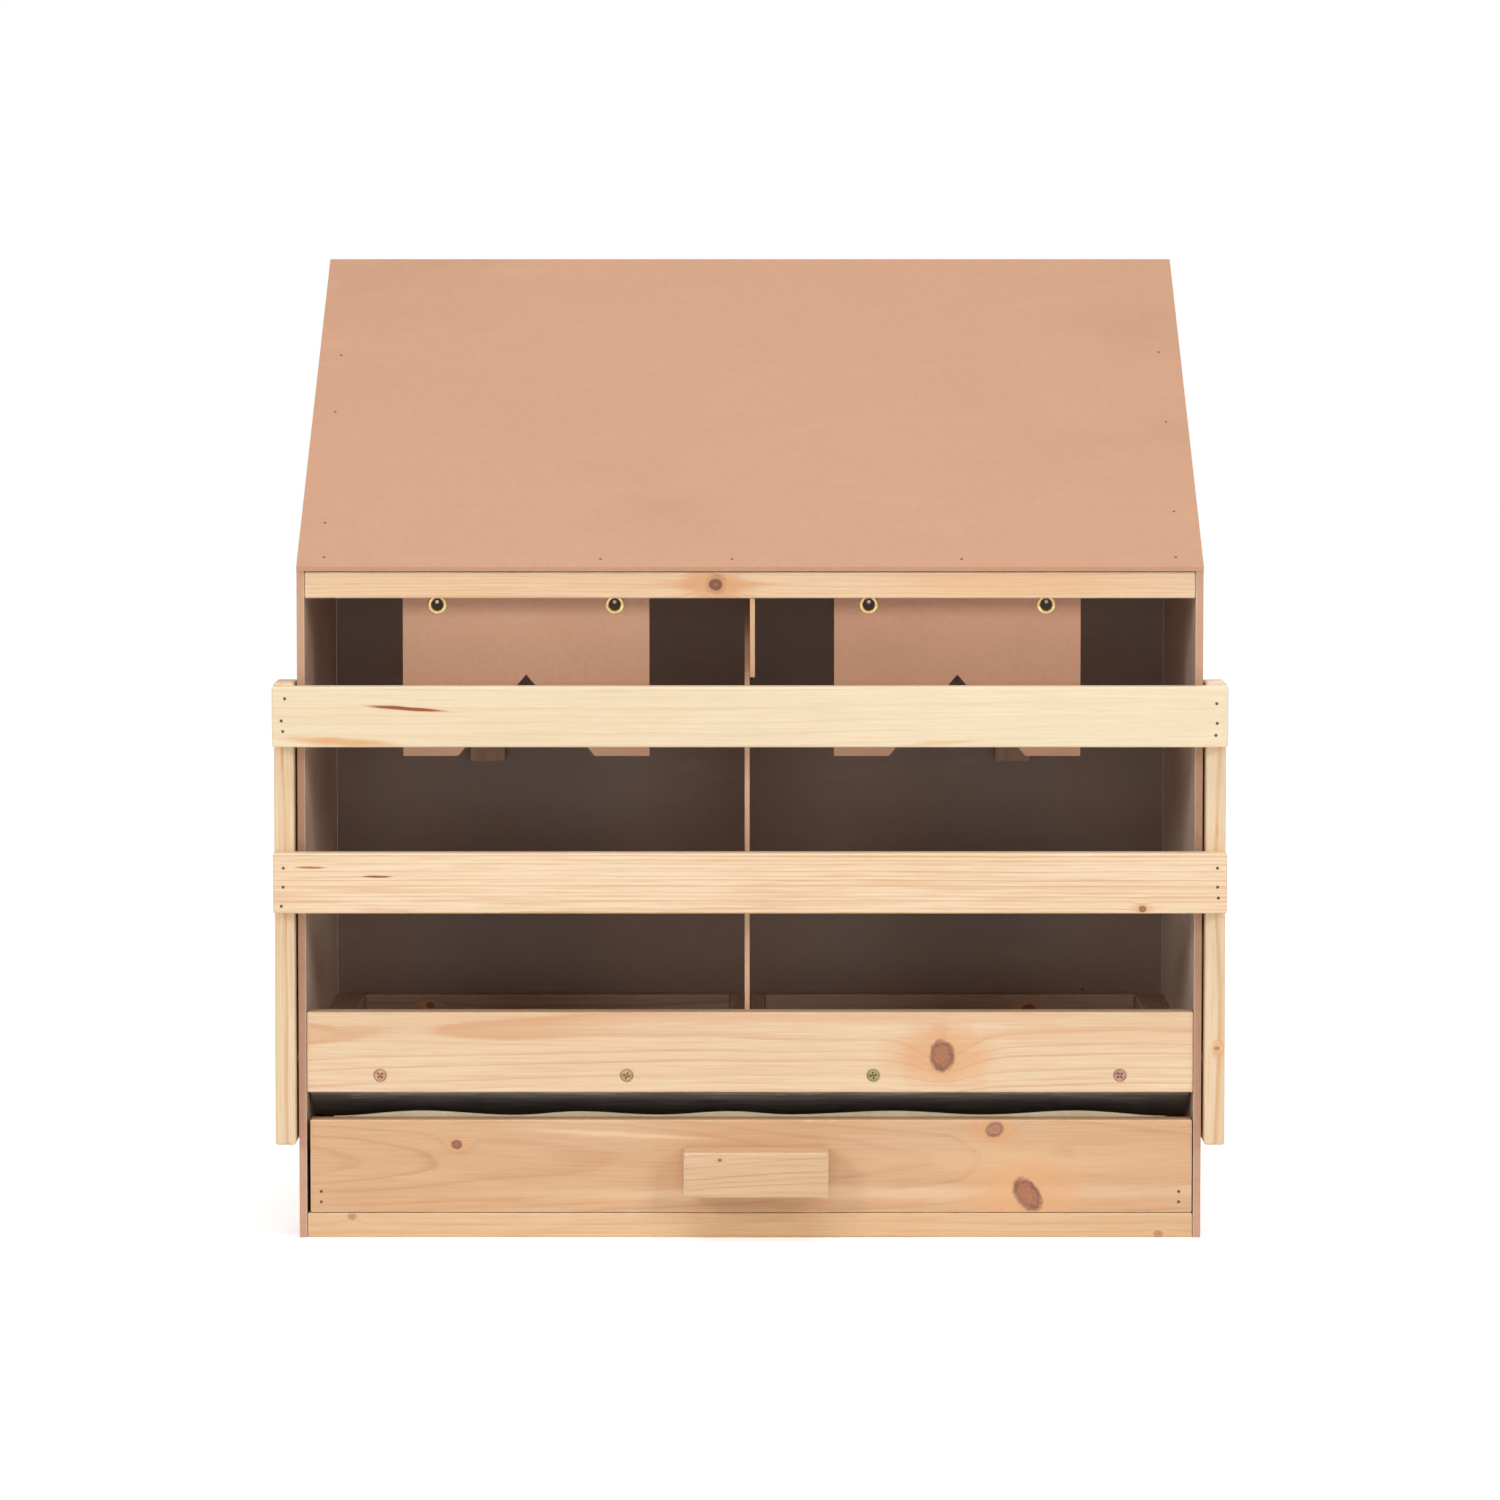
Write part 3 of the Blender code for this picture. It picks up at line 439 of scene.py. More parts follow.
def fibreboard(name, base, mottle=0.5, seed=0.0, inner=None):
    """Smooth brown fibreboard with faint flecks."""
    material, t, shader = new_material(name)
    where = t.node("ShaderNodeTexCoord").outputs["Object"]
    vector = t.vector_math("ADD", where, (seed, seed * 0.7, 0.0))
    cloud = t.noise(vector, scale=9.0, detail=4.0, roughness=0.55)
    tone = srgb(*base)
    # Inner faces get their own tone: lighter on the side panels as painted light, darker on the back panel as
    # painted shade.
    if inner:
        axis, limit, inner_painted_tone = inner
        side = t.math("ABSOLUTE", t.split(where)[axis])
        tone = t.mix(t.math("LESS_THAN", side, limit), tone, srgb(*inner_painted_tone))
    colour = t.mix(t.remap(cloud, 0.3, 0.7, 0.0, 0.30 * mottle), tone, srgb(168, 118, 90))
    smudge = t.remap(t.noise(vector, scale=4.5, detail=6.0, roughness=0.62, distortion=0.6), 0.52, 0.72)
    colour = t.mix(t.math("MULTIPLY", smudge, 0.16), colour, srgb(150, 112, 92))
    felt = t.noise(vector, scale=260.0, detail=4.0, roughness=0.65)
    colour = t.mix(t.remap(felt, 0.38, 0.72, 0.0, 0.26 * mottle), colour, srgb(138, 96, 74))
    chips = t.node("ShaderNodeTexVoronoi", {"Vector": vector, "Scale": 520.0}).outputs["Distance"]
    colour = t.mix(t.remap(chips, 0.05, 0.30, 0.20 * mottle, 0.0), colour, srgb(226, 184, 150))
    speck = t.remap(t.noise(vector, scale=900.0, detail=1.0), 0.70, 0.78)
    colour = t.mix(t.math("MULTIPLY", speck, 0.35 * mottle), colour, srgb(96, 62, 46))
    scuff = t.remap(t.noise(t.vector_math("MULTIPLY", vector, (14.0, 60.0, 60.0)), detail=4.0), 0.60, 0.80)
    colour = t.mix(t.math("MULTIPLY", scuff, 0.10), colour, srgb(228, 190, 158))
    t.put(colour, shader.inputs["Base Color"])
    t.put(t.remap(cloud, 0.3, 0.7, 0.44, 0.58), shader.inputs["Roughness"])
    add_bump(t, shader, felt, 0.00012, 0.5)
    shader.inputs["Specular IOR Level"].default_value = 0.4
    return material


def metal(name, colour, dark, roughness, scale=900.0, metallic=1.0):
    """Plated or polished metal with slight tarnish."""
    material, t, shader = new_material(name)
    where = t.node("ShaderNodeTexCoord").outputs["Object"]
    stain = t.noise(where, scale=scale * 0.3, detail=3.0)
    tone = t.mix(t.remap(stain, 0.40, 0.75, 0.0, 0.55), srgb(*colour), srgb(*dark))
    t.put(tone, shader.inputs["Base Color"])
    t.put(t.remap(stain, 0.3, 0.8, roughness, roughness + 0.25), shader.inputs["Roughness"])
    shader.inputs["Metallic"].default_value = metallic
    add_bump(t, shader, t.noise(where, scale=scale, detail=2.0), 0.00004, 0.5)
    return material


def black_rubber():
    """Matt black rubber with fine raised lines across it, smooth along both side borders; its base colours
    are a lifted mid grey, painted light for the gap between kerb and drawer.
    """
    material, t, shader = new_material("black_rubber")
    where = t.node("ShaderNodeTexCoord").outputs["Object"]
    border = t.remap(t.math("ABSOLUTE", t.split(where)[0]), 0.266, 0.269)
    waves = t.vector_math("MULTIPLY", where, (22.0, 340.0, 340.0))
    lines = t.noise(waves, detail=3.0, roughness=0.6, distortion=1.2)
    lines = t.mix(border, lines, (0.45, 0.45, 0.45, 1))
    dust = t.group(DUST, vector=where, scale=25.0).outputs["Mask"]
    # Mid-grey base colours, far lighter than black rubber: painted light.
    colour = t.mix(t.remap(lines, 0.42, 0.66), srgb(130, 125, 120), srgb(184, 178, 172))
    t.put(t.mix(t.math("MULTIPLY", dust, 0.25), colour, srgb(160, 152, 144)), shader.inputs["Base Color"])
    t.put(t.remap(lines, 0.3, 0.8, 0.50, 0.72), shader.inputs["Roughness"])
    add_bump(t, shader, lines, 0.0009, 0.8)
    return material


def moulded_pulp():
    """Pale grey-green moulded pulp with soft fibres."""
    material, t, shader = new_material("moulded_pulp")
    where = t.node("ShaderNodeTexCoord").outputs["Object"]
    cloud = t.noise(where, scale=35.0, detail=4.0)
    fibre = t.noise(t.vector_math("MULTIPLY", where, (300.0, 700.0, 700.0)), detail=4.0, distortion=0.8)
    colour = t.mix(t.remap(cloud, 0.3, 0.7), srgb(226, 214, 186), srgb(206, 192, 162))
    t.put(t.mix(t.remap(fibre, 0.4, 0.8, 0.0, 0.4), colour, srgb(178, 164, 138)), shader.inputs["Base Color"])
    shader.inputs["Roughness"].default_value = 0.9
    add_bump(t, shader, fibre, 0.0003, 0.6)
    return material


# ------------------------------------------------------------------ finishes
KERB_SCREWS = []
kerb_low, kerb_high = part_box("kerb_board")
for number in (1, 2, 3, 4):
    screw_low, screw_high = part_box(f"kerb_screw_{number}")
    away = (screw_low + screw_high - kerb_low - kerb_high) / 2 / MM
    KERB_SCREWS.append((away.x, away.z))
BOARD_FINISHES = {
    "top_rail": dict(
        grain="across", early=(238, 208, 170), late=(206, 146, 98), seed=1.3, ring_width=0.0028,
        pith_y=0.02, pith_z=0.055, wander=0.010, contrast=0.62,
        knots=[
            dict(
                at=(-22.5, 0.5), radius=6.6, stretch=1.1, heart=(198, 146, 112), glow=(212, 156, 110),
                darkness=0.4, push=1.2,
            ),
            dict(at=(-22.7, 0.3), radius=4.0, heart=(126, 80, 60), darkness=0.8, push=0.3),
        ],
        patches=[
            dict(at=(170, 1), size=(120, 12), colour=(232, 178, 132), strength=0.55),
            dict(at=(-22.5, 0.5), size=(52, 5.5), colour=(216, 156, 108), strength=0.7),
        ],
    ),
    "kerb_board": dict(
        grain="across", early=(241, 217, 181), late=(216, 156, 108), seed=4.1, ring_width=0.0044,
        pith_y=0.030, pith_z=0.020, lean_z=0.02, wander=0.013, contrast=0.66,
        knots=[
            dict(
                at=(127.6, -2.4), radius=10.6, stretch=0.78, heart=(182, 122, 92), glow=(228, 166, 116),
                darkness=0.62, push=-0.75,
            ),
        ],
        patches=[
            dict(at=(0, 23), size=(330, 6), colour=(228, 172, 132), strength=0.50),
            dict(at=(210, 12), size=(110, 9), colour=(232, 180, 140), strength=0.40),
            # Dark patches round the kerb screw heads: painted shade in their countersinks.
            *(dict(at=place, size=(5.8, 5.8), colour=(150, 104, 72), strength=0.9) for place in KERB_SCREWS),
        ],
    ),
    "perch_rail_upper": dict(
        grain="across", early=(241, 224, 192), late=(222, 182, 134), seed=7.7, ring_width=0.0042,
        pith_y=0.04, pith_z=-0.050, wander=0.012, contrast=0.28,
        patches=[
            dict(at=(-226, 5.5), size=(33, 1.7), tilt=-0.07, colour=(158, 86, 42), strength=1.7),
            dict(at=(-268, -16.5), size=(52, 4), tilt=-0.05, colour=(222, 160, 100), strength=0.75),
            dict(at=(126, -17), size=(32, 2.2), tilt=0.06, colour=(228, 172, 118), strength=0.5),
        ],
    ),
    "perch_rail_lower": dict(
        grain="across", early=(246, 222, 188), late=(212, 152, 96), seed=2.9, ring_width=0.0034,
        pith_y=0.01, pith_z=-0.085, wander=0.005, contrast=0.92,
        knots=[dict(at=(259, -17), radius=2.2, heart=(178, 118, 82), darkness=0.5)],
        patches=[
            dict(at=(-290, 10.5), size=(13, 1.2), colour=(190, 118, 66), strength=1.2),
            dict(at=(-246, 4.5), size=(13, 1.0), colour=(150, 84, 44), strength=1.4),
        ],
    ),
    "drawer_front": dict(
        grain="across", early=(225, 185, 144), late=(196, 136, 92), seed=5.6, ring_width=0.0046,
        pith_y=0.030, pith_z=0.004, lean_y=0.045, wander=0.016, contrast=0.40,
        knots=[
            dict(at=(-196, 14.5), radius=3.2, heart=(160, 112, 88), darkness=0.5, push=1.6),
            dict(
                at=(162, 24.5), radius=5.0, stretch=1.25, tilt=0.4, heart=(190, 142, 112),
                darkness=0.62, push=1.5,
            ),
            dict(
                at=(184, -19), radius=12.5, stretch=0.62, tilt=0.62, heart=(180, 124, 92),
                glow=(230, 174, 126), darkness=0.72, push=1.0,
            ),
        ],
        patches=[
            dict(at=(-84, 21), size=(80, 2.6), tilt=-0.05, colour=(244, 212, 172), strength=0.6),
            dict(at=(60, -18), size=(330, 7.5), tilt=0.004, colour=(234, 204, 166), strength=0.65),
            dict(at=(170, 4), size=(150, 14), colour=(232, 192, 150), strength=0.5),
        ],
    ),
    "drawer_handle": dict(
        grain="across", early=(229, 195, 156), late=(186, 134, 92), seed=9.2, ring_width=0.0030,
        pith_y=0.02, pith_z=-0.04, lean_z=0.16, lean_y=0.1, wander=0.007, contrast=0.62,
        knots=[dict(at=(-24, 10), radius=1.0, heart=(140, 90, 66), darkness=0.4)],
    ),
    "base_front_batten": dict(
        grain="across", early=(231, 196, 154), late=(206, 150, 104), seed=3.4, ring_width=0.0040,
        pith_y=0.03, pith_z=0.030, wander=0.010, contrast=0.6,
        knots=[
            dict(at=(-265, 6), radius=2.6, heart=(214, 168, 128), glow=(226, 184, 142), darkness=0.14),
            dict(at=(272, -6), radius=2.8, heart=(210, 164, 126), glow=(226, 184, 142), darkness=0.20),
        ],
    ),
    "perch_upright_left": dict(
        grain="upright", early=(238, 214, 178), late=(212, 156, 100), seed=6.1, ring_width=0.0030,
        pith_y=0.03, pith_z=0.020, lean_z=0.012, wander=0.010, contrast=0.8,
        patches=[dict(at=(106, 1), size=(18, 1.6), colour=(216, 158, 104), strength=0.6)],
    ),
    "perch_upright_right": dict(
        grain="upright", early=(240, 218, 184), late=(214, 164, 112), seed=8.3, ring_width=0.0030,
        pith_y=0.03, pith_z=-0.02, lean_z=-0.01, wander=0.009, contrast=0.7,
        knots=[dict(at=(-89, -1.5), radius=1.9, stretch=0.6, heart=(196, 146, 104), darkness=0.25)],
        patches=[dict(at=(56, -1), size=(8, 1.5), colour=(220, 160, 106), strength=0.5)],
    ),
}
PLAIN_BOARDS = {
    "base_rear_batten": "across", "rear_top_batten": "across", "nest_clamp_batten": "across",
    "nest_rear_batten_left": "across", "nest_rear_batten_right": "across", "drawer_back": "across",
    "drawer_runner_left": "deep", "drawer_runner_right": "deep", "drawer_side_left": "deep",
    "drawer_side_right": "deep", "nest_batten_outer_left": "deep", "nest_batten_inner_left": "deep",
    "nest_batten_inner_right": "deep", "nest_batten_outer_right": "deep", "perch_stop_left": "deep",
    "perch_stop_right": "deep", "roof_batten_left": "deep", "roof_batten_right": "deep",
    "hanging_batten_left": "upright", "hanging_batten_right": "upright",
}
# Pine for the nest battens and hanging battens is darker and greyer: painted shade.
SHADED_INNER_TONES = ((206, 172, 148), (176, 134, 108))
OUTER_TONES = ((230, 198, 158), (198, 142, 94))
for number, (name, grain) in enumerate(PLAIN_BOARDS.items()):
    chooser = random.Random(name)
    knots = []
    if chooser.random() < 0.75:
        low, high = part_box(name)
        size = high - low
        reach = max(size) * 0.4 / MM
        place = (chooser.uniform(-reach, reach), chooser.uniform(-4, 4))
        knots.append(dict(at=place, radius=chooser.uniform(2, 5)))
    early, late = SHADED_INNER_TONES if name.startswith(("nest", "hanging")) else OUTER_TONES
    BOARD_FINISHES[name] = dict(
        grain=grain, early=early, late=late, seed=number * 1.37 + 0.4,
        ring_width=chooser.uniform(0.003, 0.005),
        pith_y=chooser.uniform(0.02, 0.06) * chooser.choice((-1, 1)),
        pith_z=chooser.uniform(-0.03, 0.03), lean_z=chooser.uniform(-0.02, 0.02), wander=0.012,
        contrast=0.8, knots=knots,
    )

finishes = {}
for name, finish in BOARD_FINISHES.items():
    finishes[name] = timber("pine_" + name, name, **finish)
# Base tone, mottle, seed, and for the side and back panels an inner-face tone: painted light on the side
# panels, painted shade on the back panel.
SHEET_FINISHES = {
    "roof_panel": ((212, 163, 132), 0.35, 0.2),
    "side_panel_left": ((206, 162, 134), 0.5, 1.1, (0, 0.2954, (222, 196, 176))),
    "side_panel_right": ((206, 162, 134), 0.5, 2.4, (0, 0.2954, (224, 200, 182))),
    "back_panel": ((206, 162, 134), 0.5, 3.3, (1, 0.1660, (152, 132, 119))),
    "divider_lower": ((222, 178, 142), 0.5, 4.6),
    "divider_upper": ((222, 178, 142), 0.5, 5.1),
    "drawer_bottom": ((212, 163, 132), 0.5, 6.8),
    "flap_board_left": ((204, 157, 127), 0.4, 7.9),
    "flap_board_right": ((202, 154, 125), 0.4, 8.7),
}
for name, finish in SHEET_FINISHES.items():
    finishes[name] = fibreboard("fibreboard_" + name, *finish)
BRASS = metal("brass", (255, 228, 164), (214, 176, 108), 0.32, metallic=0.85)
YELLOW_ZINC = metal("yellow_zinc", (214, 178, 128), (150, 104, 74), 0.34)
BRIGHT_STEEL = metal("bright_steel", (190, 188, 184), (130, 126, 120), 0.42)
for name in nodes:
    if name.startswith("flap_eyelet"):
        finishes[name] = BRASS
    elif name.startswith(("flap_hook", "pivot_washer", "hanger_plate")):
        finishes[name] = BRIGHT_STEEL
    elif "_screw_" in name:
        finishes[name] = YELLOW_ZINC
    elif name.startswith("nest_mat"):
        finishes[name] = finishes.get("nest_mat") or black_rubber()
        finishes["nest_mat"] = finishes[name]
    elif name == "drawer_liner":
        finishes[name] = moulded_pulp()

for name, node in nodes.items():
    node.data.materials.clear()
    node.data.materials.append(finishes[name])

# ------------------------------------------------------------------ finer pieces
def finished(name, bm, material, body, crease=35):
    """Object from bm, with soft faces and sharp creases, riding on a body."""
    bmesh.ops.remove_doubles(bm, verts=bm.verts, dist=1e-6)
    bmesh.ops.recalc_face_normals(bm, faces=bm.faces)
    mesh = bpy.data.meshes.new(name)
    for face in bm.faces:
        face.smooth = True
    bm.to_mesh(mesh)
    bm.free()
    mesh.set_sharp_from_angle(angle=math.radians(crease))
    mesh.materials.append(material)
    made = bpy.data.objects.new(name, mesh)
    bpy.context.scene.collection.objects.link(made)
    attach(made, body)
    return made


def stand(bm, verts, point, way):
    """Moves verts, made about the origin facing +Z, to point and turns them to face way."""
    turn = Vector(way).to_track_quat("Z", "Y").to_matrix().to_4x4()
    bmesh.ops.transform(bm, matrix=Matrix.Translation(point) @ turn, verts=verts)


def turned(bm, profile, steps, closed=False):
    """Spins (radius, height) points about Z and returns the new verts."""
    before = set(bm.verts)
    verts = [bm.verts.new((radius, 0, height)) for radius, height in profile]
    pairs = list(zip(verts, verts[1:])) + ([(verts[-1], verts[0])] if closed else [])
    edges = [bm.edges.new(pair) for pair in pairs]
    bmesh.ops.spin(
        bm, geom=verts + edges, cent=(0, 0, 0), axis=(0, 0, 1), angle=2 * math.pi, steps=steps, use_merge=True
    )
    made = [vert for vert in bm.verts if vert not in before]
    bmesh.ops.remove_doubles(bm, verts=made, dist=1e-6)
    return [vert for vert in bm.verts if vert not in before]


def cross_screw(bm, point, way, head_r, shank_r, length, turn):
    """Countersunk screw with a cross recess, its head flush at point and facing way."""
    before = set(bm.verts)
    rim = bmesh.ops.create_circle(bm, cap_ends=False, segments=40, radius=head_r * 0.93)["verts"]
    rim_edges = list({edge for vert in rim for edge in vert.link_edges})
    arm, half = head_r * 0.58, head_r * 0.135
    cross = []
    for quarter in range(4):
        angle = turn + quarter * math.pi / 2
        along = Vector((math.cos(angle), math.sin(angle), 0))
        across = Vector((-math.sin(angle), math.cos(angle), 0))
        for place in (along * arm - across * half, along * arm + across * half, (along + across) * half):
            cross.append(bm.verts.new(place))
    cross_edges = [bm.edges.new((cross[k], cross[(k + 1) % 12])) for k in range(12)]
    bmesh.ops.triangle_fill(bm, use_beauty=True, edges=rim_edges + cross_edges)
    made = bmesh.ops.extrude_edge_only(bm, edges=cross_edges)["geom"]
    floor = [item for item in made if isinstance(item, bmesh.types.BMVert)]
    for vert in floor:
        vert.co = Vector((vert.co.x * 0.6, vert.co.y * 0.6, -head_r * 0.5))
    floor_edges = [e for e in made if isinstance(e, bmesh.types.BMEdge) and all(v in floor for v in e.verts)]
    bmesh.ops.contextual_create(bm, geom=floor_edges)
    taper = head_r - shank_r
    below = [(head_r, -0.00022), (head_r, -0.00038), (shank_r, -0.0004 - taper), (shank_r, 0.004 - length)]
    thread = 0.0012
    height = -0.0004 - taper - 0.004
    while height > 0.006 - length:
        valley = shank_r * 0.80
        below[-1:-1] = [(valley, height), (shank_r, height - thread / 2), (valley, height - thread)]
        height -= thread
    below.append((shank_r * 0.05, -length))
    edges = rim_edges
    for radius, height in below:
        made = bmesh.ops.extrude_edge_only(bm, edges=edges)["geom"]
        ring = [item for item in made if isinstance(item, bmesh.types.BMVert)]
        for vert in ring:
            vert.co = Vector((vert.co.x, vert.co.y, 0)).normalized() * radius + Vector((0, 0, height))
        edges = [e for e in made if isinstance(e, bmesh.types.BMEdge) and all(v in ring for v in e.verts)]
    bmesh.ops.contextual_create(bm, geom=edges)
    stand(bm, [vert for vert in bm.verts if vert not in before], point, way)


ZINC_TONES = (
    ((216, 172, 140), (120, 74, 52)),
    ((206, 176, 128), (118, 88, 54)),
    ((182, 168, 112), (100, 86, 48)),
    ((206, 158, 136), (122, 76, 60)),
)
for number, (tone, dark) in enumerate(ZINC_TONES, start=1):
    node = f"kerb_screw_{number}"
    low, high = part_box(node)
    plated = metal(f"zinc_{number}", tone, dark, 0.34, 1400.0, 0.6)
    bm = bmesh.new()
    place = ((low.x + high.x) / 2, low.y, (low.z + high.z) / 2)
    cross_screw(bm, place, (0, -1, 0), 0.0041, 0.0017, high.y - low.y, 0.25 + number * 0.5)
    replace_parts(finished(f"kerb_screw_head_{number}", bm, plated, "carcass"), node)
for side, sign in (("left", -1), ("right", 1)):
    node = "pivot_screw_" + side
    low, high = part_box(node)
    bm = bmesh.new()
    place = (low.x if sign < 0 else high.x, (low.y + high.y) / 2, (low.z + high.z) / 2)
    cross_screw(bm, place, (sign, 0, 0), 0.0042, 0.0021, high.x - low.x, 0.6)
    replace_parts(finished("pivot_screw_head_" + side, bm, YELLOW_ZINC, "carcass"), node)

EYELET_OUTLINE = []
for step in range(9):
    angle = math.pi * step / 8
    EYELET_OUTLINE.append((0.00515 + 0.0012 * math.cos(angle), 0.00185 + 0.0006 * math.sin(angle)))
for step in range(9):
    angle = math.pi * (1 + step / 8)
    EYELET_OUTLINE.append((0.00515 + 0.0012 * math.cos(angle), -0.00185 + 0.0006 * math.sin(angle)))
EYELET_OUTLINE += [(0.0050, -0.00183), (0.0050, 0.00183)]
for name in nodes:
    if name.startswith("flap_eyelet"):
        low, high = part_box(name)
        bm = bmesh.new()
        stand(bm, turned(bm, EYELET_OUTLINE, 56, closed=True), (low + high) / 2, (0, -1, 0))
        body = "flap_left" if "left" in name else "flap_right"
        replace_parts(finished(name + "_rolled", bm, BRASS, body, 50), name)

NAIL_STEEL = metal("nail_steel", (132, 98, 76), (62, 42, 32), 0.5, 2500.0, 0.7)
NAIL_HEAD = [
    (0, 0.00022), (0.6, 0.00020), (0.92, 0.00010), (1.0, -0.0002),
    (0.45, -0.0006), (0.40, -0.006), (0, -0.007),
]


def nail_heads(name, places, radius, body):
    """Nails at (point, way), their heads just proud of the timber."""
    bm = bmesh.new()
    for point, way in places:
        verts = turned(bm, [(share * radius, height) for share, height in NAIL_HEAD], 20)
        stand(bm, verts, point, way)
    finished(name, bm, NAIL_STEEL, body, 60)


FRONT = (0, -1, 0)
rail_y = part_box("perch_rail_upper")[0].y
perch_nails = [
    (-0.3063, 0.3616), (-0.3087, 0.3470), (-0.3077, 0.3400),
    (0.3073, 0.3583), (0.3077, 0.3453), (0.3068, 0.3374),
    (-0.3078, 0.2496), (-0.3080, 0.2370), (-0.3092, 0.2243),
    (0.3083, 0.2496), (0.3085, 0.2370), (0.3090, 0.2298),
]
nail_heads("perch_nails", [((x, rail_y, z), FRONT) for x, z in perch_nails], 0.0011, "perch_frame")
front_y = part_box("drawer_front")[0].y
drawer_nails = [((x, front_y, z), FRONT) for x in (-0.2855, 0.2855) for z in (0.031, 0.024)]
nail_heads("drawer_nails", drawer_nails, 0.0011, "drawer")
ROOF_NAILS = (
    (-0.282, 0.008), (-0.099, 0.006), (-0.012, 0.006), (0.140, 0.006), (0.282, 0.008), (-0.284, 0.047),
    (-0.285, 0.177), (-0.285, 0.246), (0.284, 0.060), (0.285, 0.165), (0.285, 0.250),
)
roof_corners = [vert.co for vert in nodes["roof_panel"].data.vertices]
ridge = max(roof_corners, key=lambda corner: corner.z)
eave = max((corner for corner in roof_corners if corner.y < -0.165), key=lambda corner: corner.z)
rise = (ridge.z - eave.z) / (ridge.y - eave.y)
roof_way = Vector((0, -rise, 1)).normalized()
roof_places = [((x, y - 0.170, eave.z + (y - 0.170 - eave.y) * rise), roof_way) for x, y in ROOF_NAILS]
nail_heads("roof_nails", roof_places, 0.0010, "carcass")
side_places = []
for sign, node in ((-1, "side_panel_left"), (1, "side_panel_right")):
    face = max(abs(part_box(node)[0].x), abs(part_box(node)[1].x))
    for y, z in ((-0.161, 0.435), (-0.161, 0.008), (0.182, 0.014), (0.182, 0.6145), (0.0, 0.1165)):
        side_places.append(((sign * face, y, z), (sign, 0, 0)))
nail_heads("side_nails", side_places, 0.0012, "carcass")
panel_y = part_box("back_panel")[0].y
back_places = [((x, panel_y, z), FRONT) for x in (-0.24, -0.08, 0.08, 0.24) for z in (0.6145, 0.014)]
back_places.append(((0.238, panel_y, 0.129), FRONT))
nail_heads("back_nails", back_places, 0.0011, "carcass")
plate_bm = bmesh.new()
for side in (-1, 1):
    for offset in (-0.009, 0.009):
        place = (side * 0.1865 + offset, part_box("hanger_plate_left")[1].y + 0.0003, 0.6145)
        cross_screw(plate_bm, place, (0, 1, 0), 0.0030, 0.0013, 0.012, 0.4 + offset * 60)
finished("hanger_plate_screws", plate_bm, BRIGHT_STEEL, "carcass")


def smooth_path(points, spacing):
    """Points along a soft curve through points, about spacing apart."""
    out = []
    padded = [points[0] * 2 - points[1], *points, points[-1] * 2 - points[-2]]
    for a, b, c, d in zip(padded, padded[1:], padded[2:], padded[3:]):
        count = max(2, round((c - b).length / spacing))
        for step in range(count):
            u = step / count
            square, cube = 2 * a - 5 * b + 4 * c - d, 3 * b - a - 3 * c + d
            out.append(0.5 * (2 * b + (c - a) * u + square * u * u + cube * u ** 3))
    out.append(points[-1])
    return out


def give_wall(made, thickness, edge):
    """Gives a bare surface its wall, with softened edges."""
    solid = made.modifiers.new("thickness", "SOLIDIFY")
    solid.thickness = thickness
    solid.offset = 0
    soften = made.modifiers.new("soft_edges", "BEVEL")
    soften.width = edge
    soften.segments = 2
    soften.limit_method = "ANGLE"
    soften.angle_limit = math.radians(60)


def rubber_mat(name, node, points, wrinkle):
    """Nest mat of soft rubber that follows points of (y, z), slightly wrinkled where it hangs free."""
    path = smooth_path([Vector((y, z, 0)) for y, z in points], 0.003)
    reach = [0.0]
    for first, second in zip(path, path[1:]):
        reach.append(reach[-1] + (second - first).length)
    bm = bmesh.new()
    bmesh.ops.create_grid(bm, x_segments=150, y_segments=len(path) - 1, size=1.0)
    for vert in bm.verts:
        row = round((vert.co.y + 1) / 2 * (len(path) - 1))
        x = vert.co.x * MAT_HALF_WIDTH
        free = min(1.0, max(0.0, (reach[row] - 0.026) / 0.02))
        before, after = path[max(row - 1, 0)], path[min(row + 1, len(path) - 1)]
        along = (after - before).normalized()
        normal = Vector((-along.y, along.x))
        slow = noise.noise(Vector((x * 11, reach[row] * 9, wrinkle)))
        quick = noise.noise(Vector((x * 34, reach[row] * 150, wrinkle + 5)))
        push = free * (0.0010 * slow + 0.0005 * quick)
        vert.co = Vector((x, path[row].x + normal.x * push, path[row].y + normal.y * push))
    bm.normal_update()
    made = finished(name, bm, finishes["nest_mat"], "carcass", 80)
    give_wall(made, 0.002, 0.0004)
    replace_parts(made, node)


MAT_HALF_WIDTH = 0.2938
FRONT_MAT_PATH = [(-0.1507, 0.1150), (-0.1507, 0.0970), (-0.1467, 0.0935)]
REAR_MAT_PATH = [(0.1625, 0.1057), (0.1405, 0.1057)]
for path, end_y in ((FRONT_MAT_PATH, -0.088), (REAR_MAT_PATH, -0.082)):
    start_y, start_z = path[-1]
    for step in range(1, 7):
        u = step / 6
        drop = (0.0725 - start_z) * (1.25 * u - 0.25 * u * u)
        path.append((start_y + (end_y - start_y) * u, start_z + drop))
rubber_mat("nest_mat_front_rubber", "nest_mat_front", FRONT_MAT_PATH, 2.0)
rubber_mat("nest_mat_rear_rubber", "nest_mat_rear", REAR_MAT_PATH, 7.0)

CRESTS = (
    (-0.279, 0.0791), (-0.2193, 0.0826), (-0.1568, 0.0797), (-0.1143, 0.0821),
    (-0.0605, 0.0799), (-0.0133, 0.0822), (0.0266, 0.0800), (0.0963, 0.0824),
    (0.1555, 0.0799), (0.2179, 0.0826), (0.279, 0.0791),
)


def wave_top(x):
    """Height of the liner's wavy front wall at x."""
    for (x0, z0), (x1, z1) in zip(CRESTS, CRESTS[1:]):
        if x <= x1:
            u = (x - x0) / (x1 - x0)
            return z0 + (z1 - z0) * (1 - math.cos(math.pi * u)) / 2
    return CRESTS[-1][1]


